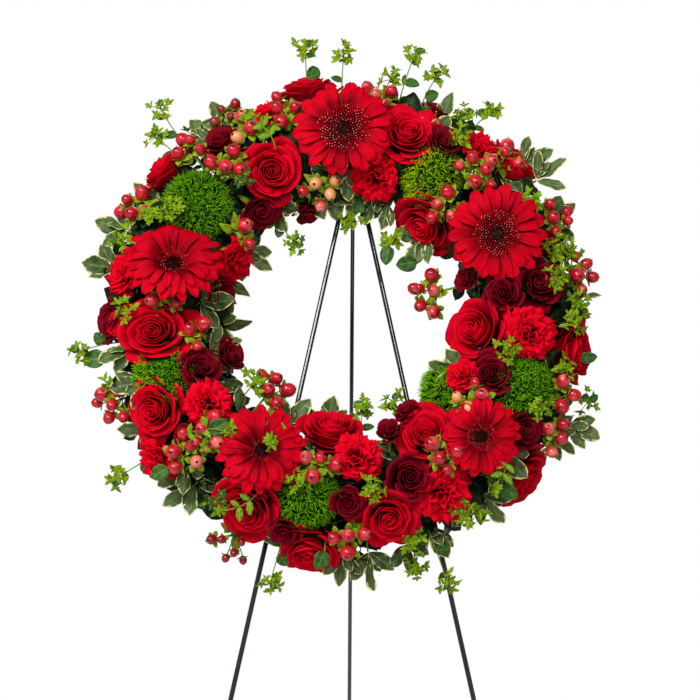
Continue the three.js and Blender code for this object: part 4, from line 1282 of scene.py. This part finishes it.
def addCollar(piece, look, dice):
    # broad leaves behind the blooms, facing the front, that close the gaps round the foam; they are painted
    # near black, as the shade in those gaps
    number = look["leaves"]
    angles = 2 * math.pi * (np.arange(number) + dice.uniform(-0.4, 0.4, number)) / number
    outward = fanned(angles, ring["right"], ring["up"])
    swing = dice.uniform(-0.6, 0.6, number)[:, None]
    way = look["side"] * np.cos(swing) * outward + np.sin(swing) * np.cross(outward, ring["front"])
    core = ring["middle"] + ring["radius"] * outward + 18 * mm * ring["front"]
    away = way * dice.uniform(18, 30, (number, 1)) + ring["front"] * dice.uniform(-6, 14, (number, 1))
    foot = core + away * mm
    long = dice.uniform(*look["length"], number) * mm
    grids = leafGrids(number, 7, 3, long, long * 0.34, bend=dice.uniform(-0.3, 0.4, number), wave=0.2,
                      blunt=0.9, full=0.6, dice=dice)
    leaves = placed(grids, foot, framesOf(way, ring["front"] + dice.normal(0, 0.2, (number, 3))))
    piece.tubes(ringsRound(np.stack([core, foot], axis=1), 0.8 * mm, 3), leafSkin["shadowLeaf"], tone=0.6)
    piece.sheets(leaves, leafSkin["shadowLeaf"], 0.35 * mm, tone=dice.uniform(0, 1, number))


# the wreath put together

sprayBlooms = {  # angle, distance from the ring's centre and size in mm, and "carnation" for small ones
    "spray_rose_top": [(67, 267, 38), (60, 223, 42), (51, 248, 54, "carnation")],
    "spray_rose_upper_left": [(125, 242, 52), (129, 140, 49), (108, 117, 40), (110, 248, 46, "carnation")],
    "spray_rose_left": [(182, 262, 54), (170.5, 129, 42)],
    "spray_rose_lower_left": [(203, 163, 52), (201.5, 125, 41), (220, 218, 34)],
    "spray_rose_bottom_left": [(271, 213, 38), (255.5, 254, 38)],
    "spray_rose_bottom": [(291, 198, 56), (302, 124, 34), (290, 136, 33)],
    "spray_rose_lower_right": [(336, 172, 53), (326, 238, 47), (331, 142, 46, "carnation")],
    "spray_rose_right": [(8, 216, 61), (6, 171, 50), (19, 240, 34), (16, 134, 33)],
}


roseToneAndShade = {  # the brightness of some roses, partly their own tone and partly painted shade; the others are 0.6
    "rose_2": 0.95, "rose_3": 0.4, "rose_4": 0.2, "rose_5": 0.3, "rose_8": 0.7, "rose_9": 0.5,
    "rose_10": 0.5, "rose_13": 0.5, "rose_14": 0.45, "rose_16": 0.35,
}
bloomGrowth = {  # how far some reach past their solids; the other roses 1.06, the other blooms 1
    "rose_2": 1.12, "rose_3": 1.1, "rose_5": 1.12, "rose_6": 1.0, "rose_7": 1.0, "rose_9": 1.12,
    "rose_10": 1.1, "rose_16": 1.1, "dianthus_3": 1.1, "dianthus_5": 1.08,
}
roseStretch = {"rose_6": (1.18, 0.88)}  # a rose wider than it is tall
clearOf = {"dianthus_1": "rose_3"}  # a dianthus that stands in front of this bloom
bloomSlots = {
    "gerbera": "gerbera_petal", "rose": "rose_petal", "carnation": "carnation_petal",
    "dianthus": "dianthus_green",
}


def diceFor(name, more=0):
    # random draws that are the same in every run, and others for each name
    return np.random.default_rng(sum(map(ord, name)) + more)


def findHeads():
    # fills heads, and gives where every bloom with a solid of its own is and which way it looks
    stands = {}
    for name in sorted(frame["nodes"]):
        kind = name.rsplit("_", 1)[0]
        if kind in bloomSlots:
            stand = standOf(name)
            size = stand["size"] * bloomGrowth.get(name, 1.06 if kind == "rose" else 1.0)
            stands[name] = dict(stand, size=size, kind=kind)
            heads[name] = (stand["face"], stand["axis"], size / 2)
    for name, blooms in sprayBlooms.items():
        for bloom in blooms:
            angle, at, size = bloom[:3]
            place = standAt(angle, at)
            heads[f"{name}_{angle}_{at}"] = (faceOf(place), place["axis"], size * mm / 2)
    return stands


def makeBlooms(stands):
    for name, stand in stands.items():
        dice = diceFor(name)
        piece = Piece(name + "_bloom")
        kind, face, axis, size = (stand[each] for each in ("kind", "face", "axis", "size"))
        if kind == "gerbera":
            addGerbera(piece, face, axis, size, gerberaKinds[name], dice)
        elif kind == "rose":
            shadeAndTone = roseToneAndShade.get(name, 0.6)
            stretch = roseStretch.get(name, (1.0, 1.0))
            addRose(piece, face, axis, size, roseLook, petalSkin["rose"], dice, shadeAndTone, stretch)
        elif kind == "carnation":
            addCarnation(piece, face, axis, size, dice)
        else:
            skin = "paleDianthusBlade" if name == "dianthus_2" else "dianthusBlade"
            others = [head for other, head in heads.items() if other not in (name, clearOf.get(name))]
            addDianthus(piece, face, axis, size, skin, dice, others)
        addStem(piece, "bloom", stand["root"], face - axis * 0.3 * size)
        piece.build(standBody, [name])


def makeSprays():
    for name, blooms in sprayBlooms.items():
        dice = diceFor(name)
        piece = Piece(name + "_blooms")
        for angle, at, size, *kind in blooms:
            place = standAt(angle, at)
            face, axis = faceOf(place), place["axis"]
            if kind:
                addCarnation(piece, face, axis, size * mm, dice)
            else:
                addRose(piece, face, axis, size * mm, sprayLook, petalSkin["darkRose"], dice)
            addStem(piece, "spray", place["core"] + axis * 14 * mm, face - axis * 0.5 * size * mm)
        piece.build(standBody, [name])


def makeGreenery():
    for name, clusters in berryBranches.items():
        dice = diceFor(name)
        piece = Piece(name + "_berries")
        for angle, at, number in clusters:
            addBerries(piece, angle, at, number, dice)
        piece.build(standBody, [name])
    for name, tips in bupleurumTips.items():
        dice = diceFor(name, 5)
        piece = Piece((name or "bupleurum_middle") + "_sprigs")
        for angle, at in tips:
            addBupleurum(piece, angle, at, dice)
        if not name:
            addLooseLeaves(piece, dice)
            for root, end in tendrils:
                addTendril(piece, root, end, dice)
        piece.build(standBody, [name] if name else [])
    for name, tips in pittosporumTips.items():
        dice = diceFor(name, 7)
        piece = Piece(name + "_leaves")
        for angle, at in tips:
            addPittosporum(piece, angle, at, dice)
        piece.build(standBody, [name])
    piece = Piece("cover_leaves")
    for seed, look in enumerate(coverLook):
        addCover(piece, look, np.random.default_rng(11 + seed))
    for seed, look in enumerate(collarLook):
        addCollar(piece, look, np.random.default_rng(41 + seed))
    piece.build(standBody)


# the stand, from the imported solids

def softenEdges():
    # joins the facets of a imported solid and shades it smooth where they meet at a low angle
    group = bpy.data.node_groups.new("soften", "GeometryNodeTree")
    group.interface.new_socket("Geometry", in_out="INPUT", socket_type="NodeSocketGeometry")
    group.interface.new_socket("Geometry", in_out="OUTPUT", socket_type="NodeSocketGeometry")
    start = group.nodes.new("NodeGroupInput")
    plain = group.nodes.new("GeometryNodeRemoveAttribute")
    plain.inputs["Name"].default_value = "custom_normal"
    weld = group.nodes.new("GeometryNodeMergeByDistance")
    weld.inputs["Distance"].default_value = 0.00001
    faces = group.nodes.new("GeometryNodeSetShadeSmooth")
    angle = group.nodes.new("GeometryNodeInputMeshEdgeAngle")
    low = group.nodes.new("FunctionNodeCompare")
    low.operation = "LESS_THAN"
    low.inputs[1].default_value = math.radians(50)
    edges = group.nodes.new("GeometryNodeSetShadeSmooth")
    edges.domain = "EDGE"
    end = group.nodes.new("NodeGroupOutput")
    links = [
        (start.outputs[0], plain.inputs[0]),
        (plain.outputs[0], weld.inputs[0]),
        (weld.outputs[0], faces.inputs[0]),
        (faces.outputs[0], edges.inputs[0]),
        (angle.outputs["Unsigned Angle"], low.inputs[0]),
        (low.outputs[0], edges.inputs["Shade Smooth"]),
        (edges.outputs[0], end.inputs[0]),
    ]
    for source, target in links:
        group.links.new(source, target)
    return group


def finishStand():
    soften = softenEdges()
    skins = {
        "green_enamel": enamelFinish(), "pin_steel": steelFinish(), "vinyl": vinylFinish(),
        "tray_plastic": trayFinish(), "flower_foam": foamFinish(),
    }
    slots = {entry["node"]: entry["material_slot"] for entry in frame["record"]["subparts"]}
    for name, node in frame["nodes"].items():
        if node.hide_render:
            continue
        node.data.materials.clear()
        node.data.materials.append(skins[slots[name]])
        node.modifiers.new("soften", "NODES").node_group = soften


def makeFloor():
    shader = Shader("pale_floor")
    grain = shader.noise(shader.place(), 3.0, 3.0)
    skin = shader.finish(grain.mix((0.80, 0.80, 0.80), (0.86, 0.86, 0.86)), 0.7)
    mesh = bpy.data.meshes.new("floor")
    angles = np.linspace(0, 2 * math.pi, 97)[:-1]
    radius = studio["floorRadius"]
    rim = [(radius * math.cos(a), radius * math.sin(a), -0.5 * mm) for a in angles]
    mesh.from_pydata(rim, [], [list(range(len(rim)))])
    mesh.materials.append(skin)
    floor = bpy.data.objects.new("floor", mesh)
    bpy.context.scene.collection.objects.link(floor)


makeCamera()
makeLights()
makeBlooms(findHeads())
print("blooms made")
makeSprays()
print("spray roses made")
makeGreenery()
print("berries and leaves made")
finishStand()
makeFloor()
print("stand and floor done")
